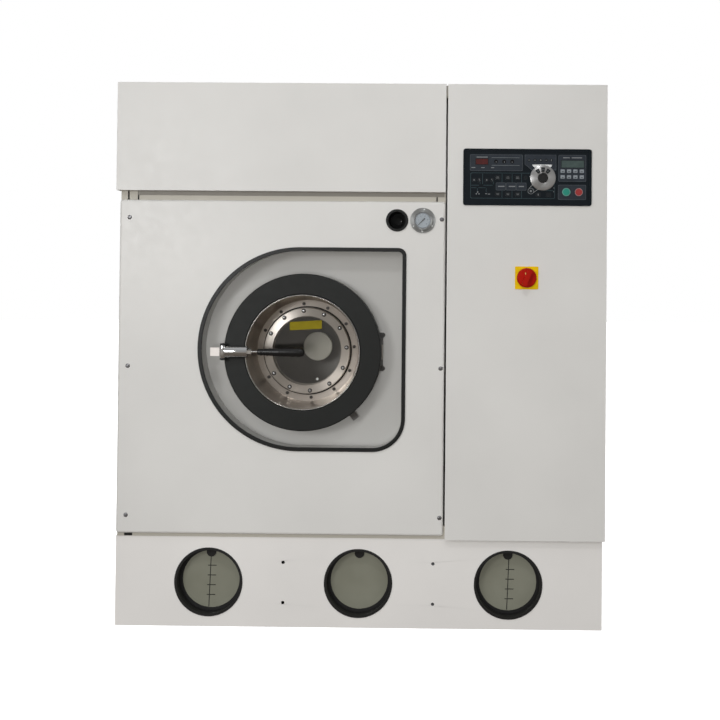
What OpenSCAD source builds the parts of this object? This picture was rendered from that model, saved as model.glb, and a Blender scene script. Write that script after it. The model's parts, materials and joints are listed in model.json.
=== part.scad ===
// Dry cleaning machine. Millimetres, +Z up, front towards -Y, origin on the floor under the middle.

/* [Overall] */
// Width over the hood and the column cover
body_w = 1650; // [1560:10:1800]
// Depth from the front of the isolator knob to the ends of the rear pipe stubs
body_d = 1250; // [1200:10:1500]
// Height above the floor
body_h = 1830; // [1790:10:1950]
// Sheet thickness of the covers
sheet_t = 2; // [1.5:0.5:3]
// Side of the square frame tube
post = 40; // [30:5:50]
// Wall of the frame tube
post_wall = 3; // [2:0.5:4]

/* [Base] */
// Height of the base
base_h = 302; // [290:2:340]
// How far the base stands in from the overall width at each side
base_side_in = 6; // [2:1:20]
// How far the apron stands behind the column face
base_setback = 25; // [15:1:35]
// Height of the base frame's floor and top rails
base_rail_h = 36; // [30:1:38]
// Width of the base frame's rails
base_rail_w = 60; // [50:1:80]
// Height of the sight windows' centres
sight_z = 149; // [146:1:156]
// Distance between neighbouring sight windows
sight_pitch = 504; // [420:2:540]
// Diameter of the black edging ring of a sight window
sight_d = 230; // [200:2:230]
// Depth of the sight window's recess
sight_depth = 34; // [20:1:40]
// Thickness of the sight glass
sight_glass_t = 12; // [8:1:16]
// Diameter of the small holes in the apron
apron_hole_d = 11; // [6:1:16]
// Wall of the solvent tank
tank_wall = 4; // [3:0.5:6]
// Diameter of the floor anchor holes
anchor_d = 14; // [10:1:18]
// Height of the level rail over the base, on which the deck lies
deck_t = 3; // [2:0.5:5]

/* [Main panel and hood] */
// Width of the right-hand column
column_w = 535; // [500:5:600]
// Gap between column and hood or panel
seam_gap = 6; // [3:1:12]
// Height of the hood's front
hood_h = 365; // [340:5:420]
// Height of the recessed band under the hood
band_h = 31; // [20:1:40]
// Gap between panel and base
panel_gap = 11.5; // [6:0.5:16]
// How far the panel stands in from the hood's left side
panel_inset = 10; // [5:1:16]
// How far the panel stands behind the column face
panel_setback = 8; // [4:1:12]
// Depth of the panel's folded edges
panel_fold = 12; // [8:1:16]
// Diameter of a panel screw's head
screw_head_d = 15; // [10:1:18]
// Distance of the panel screws from the panel's side edges
screw_inset = 34; // [14:1:36]

/* [Door opening] */
// Distance of the door's centre from the hood's left side
door_from_left = 631; // [600:1:660]
// How far the door's centre stands over the middle of the panel
door_up = 49.25; // [45:0.25:60]
// Outer radius of the round side of the opening's trim
arc_r = 342; // [335:1:350]
// Height of the opening's centre over the door's centre
arc_up = 12; // [0:1:14]
// Distance of the arc's centre to the left of the door's centre
arc_left = 9; // [0:1:12]
// Distance of the opening's straight side from the door's centre
flat_right = 348; // [335:1:360]
// Radius of the upper corner
corner_top_r = 27; // [20:1:60]
// Radius of the lower corner
corner_bottom_r = 111; // [60:1:140]
// Width of the black trim
trim_w = 13; // [10:1:16]
// How far the trim stands in front of the panel
trim_proud = 6; // [3:1:10]
// Depth of the recess behind the panel face
pan_depth = 76; // [72:1:90]

/* [Door] */
// Outer diameter of the black door ring
ring_d = 530; // [510:2:540]
// Diameter of the ring's opening, at the rim of the dish
rim_d = 382; // [360:2:384]
// Thickness of the door ring
ring_t = 38; // [32:1:40]
// How far the ring's face stands behind the panel face
ring_setback = 5; // [2:1:10]
// Depth of the stainless dish
dish_depth = 108; // [90:1:115]
// Inner diameter of the dish at its flange
dish_bottom_d = 350; // [345:1:354]
// Sheet thickness of the dish
dish_t = 3; // [2:0.5:4]
// Diameter of the door glass
glass_d = 262; // [258:1:266]
// Thickness of the door glass
glass_t = 10; // [8:1:12]
// Outer diameter of the clamp ring
clamp_d = 298; // [292:1:300]
// Inner diameter of the clamp ring
clamp_bore_d = 240; // [232:1:244]
// Bolt circle of the dark bolts on the dish flange
bolt_pcd = 325; // [322:1:328]
// Bolt circle of the clamp ring's screws
clamp_pcd = 276; // [272:1:280]
// Number of bolts on each circle
bolt_count = 12; // [8:1:16]
// Angle of the first bolt
bolt_start = 5; // [0:1:15]
// Thickness of the door seal
seal_t = 12; // [10:1:14]
// Diameter of the door's hinge pin
hinge_pin_d = 10; // [8:1:12]
// Distance of the hinge axis inside the ring's right edge
hinge_in = 8; // [6:1:10]

/* [Latch] */
// Diameter of the chrome barrel
barrel_d = 39; // [34:1:42]
// Length of the chrome barrel
barrel_l = 80; // [70:1:90]
// Length of the thin rod and its hex nut
rod_l = 33; // [25:1:45]
// Length of the black grip
grip_l = 158; // [140:1:170]
// Diameter of the grip's thick end
grip_d = 31; // [26:1:34]
// Diameter of the grip's thin end
grip_thin_d = 20; // [16:1:24]
// Height of the square nose
nose_h = 28; // [24:1:30]
// Length of the nose beyond the pin
nose_l = 39.5; // [34:0.5:44]
// Thickness of the nose
nose_t = 18; // [14:1:18]
// Diameter of the latch pin
latch_pin_d = 10; // [8:1:12]
// Length of the latch pin
latch_pin_l = 57; // [55:1:64]

/* [Controls] */
// Width of the control panel
control_w = 430; // [410:2:440]
// Height of the control panel
control_h = 190; // [180:2:200]
// How far the control panel's centre lies under the top
control_down = 313; // [280:1:340]
// How far the control panel's face stands in front of the column
control_proud = 4; // [3:0.5:6]
// Diameter of the start and stop buttons
button_d = 28; // [24:1:30]
// Travel of the start and stop buttons
button_travel = 2; // [1:0.5:3]
// How far the isolator switch's centre lies under the top
isolator_down = 650; // [590:5:690]
// Side of the isolator's yellow plate
isolator_plate = 78; // [70:1:90]
// Diameter of the isolator's red knob
knob_d = 66; // [56:1:68]
// How far the isolator knob stands in front of the column
knob_proud = 40; // [36:1:50]
// Angle of the knob's grip from upright
knob_tilt = 22; // [0:1:45]
// How far the gauge's and regulator's centres lie under the panel's top edge
gauge_down = 64; // [58:1:68]
// Distance of the gauge from the panel's right edge
gauge_in = 76; // [70:1:80]
// Distance between gauge and regulator
gauge_pitch = 86.5; // [84:0.5:92]
// Diameter of the gauge's flange
gauge_flange_d = 85; // [78:1:88]
// Diameter of the gauge's case
gauge_case_d = 62; // [58:1:64]
// Outer diameter of the regulator cup
cup_d = 75; // [70:1:80]
// Depth of the regulator cup
cup_depth = 88; // [60:1:100]

/* [Drum and drive] */
// Least gap between the tub and the top of the panel
tub_top_gap = 41; // [40:1:60]
// Least gap between the tub and the column
tub_side_gap = 14; // [14:1:30]
// Depth of the tub from the recess to its rear wall
tub_depth = 353; // [350:1:370]
// Wall of the tub
tub_wall = 6; // [4:0.5:8]
// Radial gap between the tub and the drum
drum_gap = 50; // [40:1:70]
// Depth of the drum
drum_depth = 310; // [290:2:330]
// Wall of the drum
drum_wall = 3; // [2:0.5:4]
// Diameter of the drum's mouth
mouth_d = 408; // [390:2:410]
// Diameter of the hub cap on the drum's rear wall
hub_d = 107; // [96:1:116]
// Height of the hub over the drum's rear wall
hub_h = 60; // [40:1:70]
// Diameter of the drum shaft
shaft_d = 60; // [50:2:70]
// Radial clearance of a running fit
run_fit = 0.05; // [0.02:0.01:0.1]
// Diameter of the drum pulley
drum_pulley_d = 300; // [260:5:340]
// Diameter of the motor pulley
motor_pulley_d = 100; // [80:2:110]
// Width of both pulleys
pulley_w = 40; // [30:2:46]
// Depth of the pulleys' flanges over the belt's seat
belt_seat = 10; // [8:1:12]
// Diameter of the drive motor
motor_d = 180; // [160:5:200]
// Length of the drive motor
motor_l = 230; // [200:5:260]

/* [Air and solvent] */
// Diameter of the fan housing
fan_d = 280; // [260:5:290]
// Width of the fan housing
fan_w = 100; // [80:5:110]
// Length of the heat exchanger
cooler_l = 602; // [560:2:640]
// Width of the heat exchanger
cooler_w = 540; // [500:5:580]
// Height of the heat exchanger
cooler_h = 290; // [270:5:300]
// Width of the button trap
trap_w = 180; // [160:2:190]
// Depth of the button trap
trap_d = 240; // [200:5:280]
// Height of the button trap
trap_h = 240; // [220:5:250]
// Diameter of the still
still_d = 380; // [340:5:400]
// Height of the still's shell
still_h = 395; // [360:5:420]
// Diameter of the condenser
condenser_d = 170; // [150:5:190]
// Height of the condenser
condenser_h = 450; // [400:10:480]
// Diameter of the filter vessel
filter_d = 300; // [260:5:320]
// Height of the filter vessel
filter_h = 525; // [480:5:560]
// Wall of the pressure vessels
vessel_wall = 4; // [3:0.5:6]
// Diameter of the compressor
compressor_d = 250; // [220:5:260]
// Outer diameter of the water stubs
water_stub_d = 33.7; // [26.9:0.1:42.4]
// Outer diameter of the steam stubs
steam_stub_d = 21.3; // [17.2:0.1:26.9]
// Outer diameter of the compressed air stub
air_stub_d = 12; // [8:1:16]
// Bore of the cable gland
gland_bore_d = 18; // [12:1:24]
// How far the stubs stand behind the rear cover
stub_l = 40; // [30:1:60]

/* [Hidden] */
$fn = 72;
cut = 1;
gap = 0.3;
leg_h = 30;

left_x = -body_w / 2;
right_x = body_w / 2;
front_y = -body_d / 2 + knob_proud;
rear_y = body_d / 2 - stub_l;
column_x = right_x - column_w;
column_mid_x = (column_x + right_x) / 2;
panel_x0 = left_x + panel_inset;
panel_x1 = column_x - seam_gap;
panel_y = front_y + panel_setback;
panel_back_y = panel_y + panel_fold;
hood_fold = 18;
hood_z = body_h - hood_h;
panel_top = hood_z - band_h;
panel_bottom = base_h + panel_gap;
door_z = (panel_top + panel_bottom) / 2 + door_up;
control_z = body_h - control_down;
isolator_z = body_h - isolator_down;
gauge_z = panel_top - gauge_down;
apron_y = front_y + base_setback;
base_x = body_w / 2 - base_side_in;
sight_xs = [-sight_pitch, 0, sight_pitch];

// Frame tubes: left, middle and right posts, front and rear
post_xs = [panel_x0 + sheet_t, panel_x1 - post, right_x - sheet_t - post];
post_rear_y = rear_y - sheet_t - post;
deck_z = base_h + post + deck_t;
band_rail_z = panel_top - 5;
beam_z = band_rail_z + post;

door_x = left_x + door_from_left;
ring_y = panel_y + ring_setback;
ring_r = ring_d / 2;
rim_r = rim_d / 2;
ring_wall = 6;
ring_bore_r = rim_r + dish_t + 1;
ring_back_y = ring_y + ring_t;
plate_back_y = ring_back_y + dish_t;
flange_y = ring_y + dish_depth;
flange_t = 6;
flange_bore_r = glass_d / 2 - 15;
flange_r = dish_bottom_d / 2;
pan_y = panel_y + pan_depth;
pan_back_y = pan_y + sheet_t;
collar_y = plate_back_y + seal_t + gap;
collar_r = 205;
lip_r = 243;
seal_in_r = 215;
seal_out_r = 235;
hinge_x = door_x + ring_r - hinge_in;
hinge_y = plate_back_y + 12;
knuckle_r = 9;
eye_half = 25;
bracket_half = 45;
hinge_bolt_up = 57;

latch_x = door_x - ring_r + 2;
latch_z = door_z + 2;
latch_y = ring_y - barrel_d / 2 - 2.5;
ear_t = 6;
ear_in = latch_pin_l / 2 - ear_t - 1.5;

tub_r = min(panel_top - door_z - tub_top_gap, column_x - door_x - tub_side_gap);
tub_back_y = pan_back_y + tub_depth;
drum_r = tub_r - drum_gap;
drum_y = pan_back_y + tub_wall + 8;
drum_back_y = drum_y + drum_depth;
shaft_r = shaft_d / 2;
housing_len = 206;
housing_y1 = tub_back_y + housing_len;
bearing_r = shaft_r + 15;
bearing_w = 30;
pulley_y = housing_y1 + 6;
pulley_flange = 6;
belt_t = belt_seat - 1.3;
motor_x = 20;
motor_z = deck_z + 215;
motor_y = pulley_y + pulley_w + 9;
motor_shaft_r = 14;

gauge_x = panel_x1 - gauge_in;
cup_x = gauge_x - gauge_pitch;
gauge_r = gauge_case_d / 2;
cup_r = cup_d / 2;
button_xs = [column_mid_x + 130.5, column_mid_x + 172];
button_z = control_z - 49;
key_x = column_mid_x + 118;
key_z = control_z + 21.5;
key_pitch = [21.3, -19.4];
control_face_y = front_y - control_proud;

chute_y0 = tub_back_y - 124;
chute_y1 = tub_back_y - 14;
chute_top = beam_z;
cooler_x1 = -118;
cooler_x0 = cooler_x1 - cooler_l;
cooler_y0 = front_y + 145;
fan_y = tub_back_y - 144;
fan_z = beam_z + fan_d / 2 + 6;
fan_shaft_r = 8;
inlet_chute_x = cooler_x0 + 260;
chute_w = 90;
beam_ys = [front_y + 265, front_y + 625];

trap_x = post_xs[0] + 48;
trap_y = front_y + 165;
trap_top = deck_z + trap_h;
still_pos = [column_mid_x, rear_y - 335];
still_z = deck_z + leg_h;
still_cone_h = 70;
still_neck_h = 50;
still_top = still_z + still_h + still_cone_h;
condenser_y = post_rear_y - condenser_d / 2 - 5;
condenser_z = still_top + 110;
vapour_z = condenser_z + condenser_h - 60;
saddle_z = condenser_z + 210;
filter_pos = [left_x + 225, rear_y - 215];
pump_pos = [door_x - 56, rear_y - 165];
compressor_pos = [column_mid_x, front_y + 255];
compressor_h = compressor_d * 1.1;
ebox_z0 = body_h - 750;
ebox_z1 = body_h - 60;
ebox_y0 = front_y + 50;
ebox_y1 = front_y + 255;
stub_z = base_h + 168;
stub_x = column_x + 60;
stub_pitch = 90;
gland_z = base_h + 698;
gland_r = 22;

// ---- helpers ----

module block(x0, x1, y0, y1, z0, z1)
    translate([x0, y0, z0]) cube([x1 - x0, y1 - y0, z1 - z0]);

// Everything below here that turns about a front-to-back axis is drawn at x = z = 0
module at(x, z) translate([x, 0, z]) children();

module disc_y(r, y0, y1)
    translate([0, y0, 0]) rotate([-90, 0, 0]) cylinder(r = r, h = y1 - y0);

module tube_y(ro, ri, y0, y1)
    difference() {
        disc_y(ro, y0, y1);
        disc_y(ri, y0 - cut, y1 + cut);
    }

// A profile of [radius, y] points turned about the front-to-back axis
module lathe_y(points)
    rotate([-90, 0, 0]) rotate_extrude() polygon(points);

// A shape drawn in the front plane and given a thickness from y0 back to y1
module plate_y(y0, y1)
    translate([0, y1, 0]) rotate([90, 0, 0]) linear_extrude(y1 - y0) children();

module disc_x(r, x0, x1)
    translate([x0, 0, 0]) rotate([0, 90, 0]) cylinder(r = r, h = x1 - x0);

module ring_of(count, pcd, start)
    for (i = [0 : count - 1])
        rotate([0, -start - i * 360 / count, 0]) translate([pcd / 2, 0, 0]) children();

module rounded_rect(w, h, r) {
    square([w - 2 * r, h], center = true);
    square([w, h - 2 * r], center = true);
    for (sx = [-1, 1], sy = [-1, 1])
        translate([sx * (w / 2 - r), sy * (h / 2 - r)]) circle(r);
}

// Square tube along an axis, open at both ends
module tube_x(x0, x1, y, z)
    difference() {
        block(x0, x1, y, y + post, z, z + post);
        block(x0 - cut, x1 + cut, y + post_wall, y + post - post_wall,
            z + post_wall, z + post - post_wall);
    }

module tube_along_y(y0, y1, x, z)
    difference() {
        block(x, x + post, y0, y1, z, z + post);
        block(x + post_wall, x + post - post_wall, y0 - cut, y1 + cut,
            z + post_wall, z + post - post_wall);
    }

module tube_z(z0, z1, x, y)
    difference() {
        block(x, x + post, y, y + post, z0, z1);
        block(x + post_wall, x + post - post_wall, y + post_wall, y + post - post_wall,
            z0 - cut, z1 + cut);
    }

// The opening's outline in the front plane, grown or shrunk by g
module opening_shape(g) {
    cx = door_x - arc_left;
    cz = door_z + arc_up;
    x1 = door_x + flat_right + g;
    z0 = cz - arc_r - g;
    z1 = cz + arc_r + g;
    rt = corner_top_r + g;
    rb = corner_bottom_r + g;
    translate([cx, cz]) circle(arc_r + g, $fn = 180);
    translate([cx, z0]) square([x1 - rb - cx, z1 - z0]);
    translate([cx, z0 + rb]) square([x1 - cx, z1 - rt - z0 - rb]);
    translate([cx, z1 - rt - cut]) square([x1 - rt - cx, rt + cut]);
    translate([x1 - rt, z1 - rt]) circle(rt);
    translate([x1 - rb, z0 + rb]) circle(rb);
}

module screw_spots(x_left, x_right)
    for (x = [x_left, x_right], z = [panel_top - 60, (panel_top + panel_bottom) / 2, panel_bottom + 61])
        at(x, z) children();

module panel_screw_spots()
    screw_spots(panel_x0 + screw_inset, panel_x1 - 12) children();

// A rectangular row of louvre slots in a side or rear cover
module slot_grid(columns, rows, pitch_u, pitch_z, slot_l, slot_h)
    for (i = [0 : columns - 1], j = [0 : rows - 1])
        translate([(i - (columns - 1) / 2) * pitch_u, (j - (rows - 1) / 2) * pitch_z])
            square([slot_l, slot_h], center = true);

// ---- base ----

module base_ring(z) {
    for (y = [apron_y + sheet_t, rear_y - sheet_t - base_rail_w])
        block(-base_x + sheet_t, base_x - sheet_t, y, y + base_rail_w, z, z + base_rail_h);
    for (x = [-base_x + sheet_t, base_x - sheet_t - base_rail_w])
        block(x, x + base_rail_w, apron_y + sheet_t, rear_y - sheet_t, z, z + base_rail_h);
}

anchor_x = base_x - base_rail_w - 22;
anchor_ys = [apron_y + base_rail_w + 40, rear_y - base_rail_w - 45];
lug_t = 6;

module base_frame() color("dimgray")
    difference() {
        union() {
            base_ring(0);
            base_ring(base_h - base_rail_h);
            for (x = [-base_x + sheet_t, post_xs[1], base_x - sheet_t - post],
                y = [apron_y + sheet_t, post_rear_y])
                tube_z(base_rail_h, base_h - base_rail_h, x, y);
            for (x = [-sight_pitch / 2, sight_pitch / 2])
                block(x - post / 2, x + post / 2, apron_y + sheet_t + base_rail_w,
                    rear_y - sheet_t - base_rail_w, 0, base_rail_h);
            for (s = [-1, 1], y = anchor_ys)
                translate([s * anchor_x - 30, y - 30, 0]) cube([60, 60, lug_t]);
        }
        for (s = [-1, 1], y = anchor_ys)
            translate([s * anchor_x, y, -cut]) cylinder(d = anchor_d, h = lug_t + 2 * cut);
    }

module base_cover() color("gainsboro")
    difference() {
        block(-base_x, base_x, apron_y, rear_y, 0, base_h);
        block(-base_x + sheet_t, base_x - sheet_t, apron_y + sheet_t, rear_y - sheet_t,
            -cut, base_h + cut);
        for (x = sight_xs)
            at(x, sight_z) disc_y(sight_d / 2 - 4, apron_y - cut, apron_y + sheet_t + cut);
        for (s = [-1, 1], u = [-1, 1])
            at(s * sight_pitch / 2 - 1, sight_z + u * 67.5)
                disc_y(apron_hole_d / 2, apron_y - cut, apron_y + sheet_t + cut);
    }

// Along y: rubber ring, glass, tank wall
glass_y = apron_y + sight_depth + 4;
tank_y0 = glass_y + sight_glass_t;
tank_y1 = rear_y - sheet_t - base_rail_w - 30;
tank_x = 1.5 * sight_pitch - 61;
window_r = sight_d / 2 - 18;
sleeve_r = sight_d / 2 - 4.3;

module tank_block() color("gray") {
    z0 = base_rail_h;
    z1 = base_h - base_rail_h;
    difference() {
        block(-tank_x, tank_x, tank_y0, tank_y1, z0, z1);
        for (i = [-1, 0, 1]) {
            x0 = i == -1 ? -tank_x + tank_wall : (i - 0.5) * sight_pitch + tank_wall / 2;
            x1 = i == 1 ? tank_x - tank_wall : (i + 0.5) * sight_pitch - tank_wall / 2;
            block(x0, x1, tank_y0 + tank_wall, tank_y1 - tank_wall, z0 + tank_wall, z1 - tank_wall);
        }
        for (x = sight_xs)
            at(x, sight_z) disc_y(window_r - 2, tank_y0 - cut, tank_y0 + tank_wall + cut);
    }
    for (x = sight_xs)
        at(x, sight_z) tube_y(sleeve_r + 1.5, sleeve_r, apron_y + sheet_t + gap, tank_y0);
}

module sight_ring()
    difference() {
        union() {
            tube_y(sight_d / 2, sight_d / 2 - 8, apron_y - 3, apron_y);
            tube_y(sleeve_r, sight_d / 2 - 8, apron_y, apron_y + sight_depth);
            tube_y(sleeve_r, window_r, apron_y + sight_depth, glass_y);
            intersection() {
                at(0, window_r - 6) disc_y(16, apron_y + sight_depth, glass_y);
                disc_y(window_r + 2, apron_y + sight_depth, glass_y);
            }
        }
    }

module sight_rings() color([0.12, 0.12, 0.12])
    for (x = sight_xs)
        at(x, sight_z) sight_ring();

module sight_glasses() color([0.43, 0.43, 0.38])
    for (x = sight_xs)
        at(x, sight_z) disc_y(sleeve_r - 2, glass_y, tank_y0);

// ---- frame and covers ----

module machine_frame() color("silver")
    difference() {
        union() {
            for (x = post_xs) {
                tube_z(base_h, body_h - sheet_t, x, panel_back_y);
                tube_z(base_h, body_h - sheet_t, x, post_rear_y);
                for (z = [base_h, body_h - sheet_t - post])
                    tube_along_y(panel_back_y + post, post_rear_y, x, z);
            }
            for (x = [post_xs[0], post_xs[1]])
                tube_along_y(panel_back_y + post, post_rear_y, x, band_rail_z);
            for (i = [0, 1], y = [panel_back_y, post_rear_y], z = [base_h, body_h - sheet_t - post])
                tube_x(post_xs[i] + post, post_xs[i + 1], y, z);
            for (y = [panel_back_y, post_rear_y])
                tube_x(post_xs[0] + post, post_xs[1], y, band_rail_z);
            for (y = beam_ys)
                tube_x(post_xs[0] + post, post_xs[1], y, band_rail_z);
            tube_x(post_xs[1] + post, post_xs[2], post_rear_y, saddle_z);
            block(post_xs[0], post_xs[2] + post, panel_back_y, rear_y - sheet_t,
                base_h + post, deck_z);
        }
        panel_screw_spots() disc_y(3.2, panel_back_y - cut, panel_back_y + post_wall + cut);
        for (x = [panel_x0 + 26, panel_x0 + 59, panel_x1 - 29])
            block(x - 2.5, x + 2.5, panel_back_y - cut, panel_back_y + post_wall + cut,
                band_rail_z + 5, band_rail_z + post - 2);
    }

module front_panel() color("gainsboro")
    difference() {
        block(panel_x0, panel_x1, panel_y, panel_back_y, panel_bottom, panel_top);
        block(panel_x0 + sheet_t, panel_x1 - sheet_t, panel_y + sheet_t, panel_back_y + cut,
            panel_bottom + sheet_t, panel_top - sheet_t);
        plate_y(panel_y - cut, panel_y + sheet_t + cut) opening_shape(-6);
        at(gauge_x, gauge_z) disc_y(gauge_r + 0.5, panel_y - cut, panel_y + sheet_t + cut);
        at(cup_x, gauge_z) disc_y(cup_r - 5, panel_y - cut, panel_y + sheet_t + cut);
        panel_screw_spots() disc_y(3.2, panel_y - cut, panel_y + sheet_t + cut);
    }

module panel_screws() color("darkgray")
    panel_screw_spots() {
        lathe_y([[0, panel_y - 4], [screw_head_d * 0.25, panel_y - 3.6], [screw_head_d * 0.4, panel_y - 2.4],
            [screw_head_d / 2, panel_y], [0, panel_y]]);
        disc_y(3, panel_y, panel_back_y + post_wall);
    }

module panel_trim() color([0.1, 0.11, 0.11]) {
    plate_y(panel_y - trim_proud, panel_y)
        difference() {
            opening_shape(0);
            opening_shape(-trim_w);
        }
    plate_y(panel_y, panel_y + sheet_t)
        difference() {
            opening_shape(-6);
            opening_shape(-trim_w);
        }
}

// The boss stands behind the latch nose, which presses on it to break the seal's grip
module recess_pan() color("lightgray") {
    plate_y(panel_y + sheet_t, panel_y + 2 * sheet_t)
        difference() {
            opening_shape(6);
            opening_shape(-8);
        }
    plate_y(panel_y + 2 * sheet_t, pan_y)
        difference() {
            opening_shape(-6);
            opening_shape(-8);
        }
    difference() {
        plate_y(pan_y, pan_back_y) opening_shape(-6);
        at(door_x, door_z) disc_y(lip_r + 3, pan_y - cut, pan_back_y + cut);
    }
    at(latch_x - nose_l + 13, latch_z) disc_y(9, pan_y - 50, pan_y);
}

module hood_cover() color("gainsboro") {
    difference() {
        block(left_x, panel_x1, front_y, rear_y - sheet_t, hood_z, body_h);
        block(left_x + sheet_t, panel_x1 + cut, front_y + sheet_t, rear_y, hood_z - cut,
            body_h - sheet_t);
    }
    block(left_x, panel_x1, front_y, front_y + hood_fold, hood_z, hood_z + sheet_t);
    block(left_x, post_xs[0], front_y, rear_y - sheet_t, hood_z, hood_z + sheet_t);
}

module column_cover() color("gainsboro")
    difference() {
        union() {
            block(column_x, right_x, front_y, front_y + sheet_t, base_h, body_h);
            block(right_x - sheet_t, right_x, front_y, rear_y - sheet_t, base_h, body_h);
            block(column_x, right_x, front_y, rear_y - sheet_t, body_h - sheet_t, body_h);
            block(column_x, column_x + sheet_t, front_y, panel_back_y, base_h, body_h);
        }
        at(column_mid_x, control_z)
            plate_y(front_y - cut, front_y + sheet_t + cut)
                square([control_w - 29, control_h - 29], center = true);
        at(column_mid_x, isolator_z) disc_y(12, front_y - cut, front_y + sheet_t + cut);
    }

module left_cover() color("gainsboro")
    difference() {
        block(panel_x0, panel_x0 + sheet_t, panel_back_y, rear_y - sheet_t, panel_bottom, hood_z - sheet_t);
        translate([panel_x0 - cut, (panel_y + rear_y) / 2, (panel_top + panel_bottom) / 2])
            rotate([90, 0, 90]) linear_extrude(sheet_t + 2 * cut)
                slot_grid(3, 14, 260, 26, 200, 6);
    }

module rear_cover() color("gainsboro")
    difference() {
        block(left_x + sheet_t, right_x - sheet_t, rear_y - sheet_t, rear_y, base_h + gap, body_h - sheet_t);
        at(door_x - 66, door_z + 77) plate_y(rear_y - 2 * sheet_t, rear_y + cut) slot_grid(3, 16, 260, 30, 200, 7);
        at(column_mid_x, body_h - 380) plate_y(rear_y - 2 * sheet_t, rear_y + cut) slot_grid(1, 10, 260, 30, 300, 7);
        stub_spots() disc_y($stub_r + 3, rear_y - sheet_t - cut, rear_y + cut);
        at(stub_x + 3 * stub_pitch, gland_z) disc_y(gland_r - 6, rear_y - sheet_t - cut, rear_y + cut);
    }

// ---- controls ----

module control_panel() color([0.12, 0.14, 0.17])
    at(column_mid_x, control_z)
        difference() {
            union() {
                plate_y(control_face_y, front_y) rounded_rect(control_w, control_h, 8);
                plate_y(control_face_y - 2, control_face_y)
                    difference() {
                        rounded_rect(control_w, control_h, 8);
                        rounded_rect(control_w - 14, control_h - 14, 4);
                    }
                plate_y(front_y, front_y + 45)
                    square([control_w - 30, control_h - 30], center = true);
            }
            plate_y(front_y + 15, front_y + 46)
                square([control_w - 36, control_h - 36], center = true);
            translate([-154, 0, 52]) plate_y(control_face_y - 1, control_face_y + 1) square([42, 19], center = true);
            translate([148, 0, 46]) plate_y(control_face_y - 1, control_face_y + 1) square([77, 25], center = true);
            for (x = button_xs)
                at(x - column_mid_x, button_z - control_z)
                    disc_y(button_d / 2 + gap, control_face_y - cut, front_y + 12);
        }

module keypad() color("lightslategray") {
    for (i = [0 : 3], j = [0, 1])
        at(key_x + i * key_pitch[0], key_z + j * key_pitch[1])
            plate_y(control_face_y - 1.2, control_face_y) rounded_rect(14, 11.5, 2);
    for (i = [0 : 2])
        at(column_mid_x - 105.5 + i * 27.2, control_z + 52) disc_y(6.5, control_face_y - 1.2, control_face_y);
}

button_back = front_y + 12 - button_travel - 0.5;

module start_button() color("seagreen")
    at(button_xs[0], button_z) {
        lathe_y([[0, control_face_y - 3.5], [button_d / 2 - 1.5, control_face_y - 3.5],
            [button_d / 2, control_face_y - 2], [button_d / 2, button_back], [0, button_back]]);
    }

module stop_button() color("firebrick")
    at(button_xs[1], button_z) {
        disc_y(button_d / 2, control_face_y, button_back);
        plate_y(control_face_y - 3.5, control_face_y + 1)
            rotate(22.5) circle(button_d / 2 - 0.4, $fn = 8);
    }

module isolator_plate() color("gold")
    at(column_mid_x, isolator_z)
        difference() {
            union() {
                plate_y(front_y - 3, front_y) rounded_rect(isolator_plate, isolator_plate - 2, 3);
                disc_y(11.8, front_y, front_y + sheet_t);
                plate_y(front_y + sheet_t, front_y + 48) square([56, 56], center = true);
            }
            disc_y(5 + run_fit, front_y - 3 - cut, front_y + 30);
        }

module isolator_knob() color("red")
    at(column_mid_x, isolator_z) {
        skirt_y = front_y - 3 - gap;
        r = knob_d / 2;
        lathe_y([[0, skirt_y - 12], [r - 6, skirt_y - 12], [r - 2, skirt_y - 10], [r, skirt_y - 5],
            [r, skirt_y], [0, skirt_y]]);
        disc_y(5, skirt_y, front_y + 28);
        rotate([0, knob_tilt, 0])
            intersection() {
                plate_y(front_y - knob_proud, skirt_y - 10) rounded_rect(17, knob_d - 4, 5);
                disc_y(r - 6.5, front_y - knob_proud, skirt_y - 10);
            }
    }

module gauge_case() color("silver")
    at(gauge_x, gauge_z)
        difference() {
            union() {
                disc_y(gauge_flange_d / 2, panel_y - 4, panel_y);
                disc_y(gauge_r + 2, panel_y - 9, panel_y - 4);
                disc_y(gauge_r, panel_y, panel_y + 45);
            }
            disc_y(gauge_r - 2.5, panel_y - 9 - cut, panel_y - 6.2);
            disc_y(gauge_r - 4, panel_y - 9, panel_y - 2);
            disc_y(1 + run_fit, panel_y - 9, panel_y + 5);
            disc_y(gauge_r - 4, panel_y + 8, panel_y + 41);
        }

module gauge_glass() color([0.8, 0.9, 0.95, 0.4])
    at(gauge_x, gauge_z) disc_y(gauge_r - 2.7, panel_y - 8.2, panel_y - 6.2);

// Drawn pointing up, then turned to the zero mark at the lower left
module gauge_needle() color("black")
    at(gauge_x, gauge_z) {
        disc_y(1, panel_y - 4.6, panel_y + 4);
        disc_y(2.6, panel_y - 4.8, panel_y - 3.4);
        rotate([0, -135, 0])
            plate_y(panel_y - 4.6, panel_y - 3.6)
                polygon([[-1.6, -9], [1.6, -9], [0.5, gauge_r - 8], [-0.5, gauge_r - 8]]);
    }

module regulator_cup() color([0.1, 0.1, 0.1])
    at(cup_x, gauge_z)
        difference() {
            union() {
                disc_y(cup_r, panel_y - 4, panel_y);
                disc_y(cup_r - 5.3, panel_y, panel_y + cup_depth + 6);
            }
            disc_y(cup_r - 8, panel_y - 4 - cut, panel_y + cup_depth);
            disc_y(4 + run_fit, panel_y, panel_y + cup_depth + 6 + cut);
        }

module regulator_knob() color("dimgray")
    at(cup_x, gauge_z) {
        difference() {
            disc_y(13, panel_y + cup_depth - 20, panel_y + cup_depth - gap);
            ring_of(12, 27, 0) disc_y(1.6, panel_y + cup_depth - 21, panel_y + cup_depth);
        }
        disc_y(4, panel_y + cup_depth - gap, panel_y + cup_depth + 12);
    }

// ---- door ----

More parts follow.
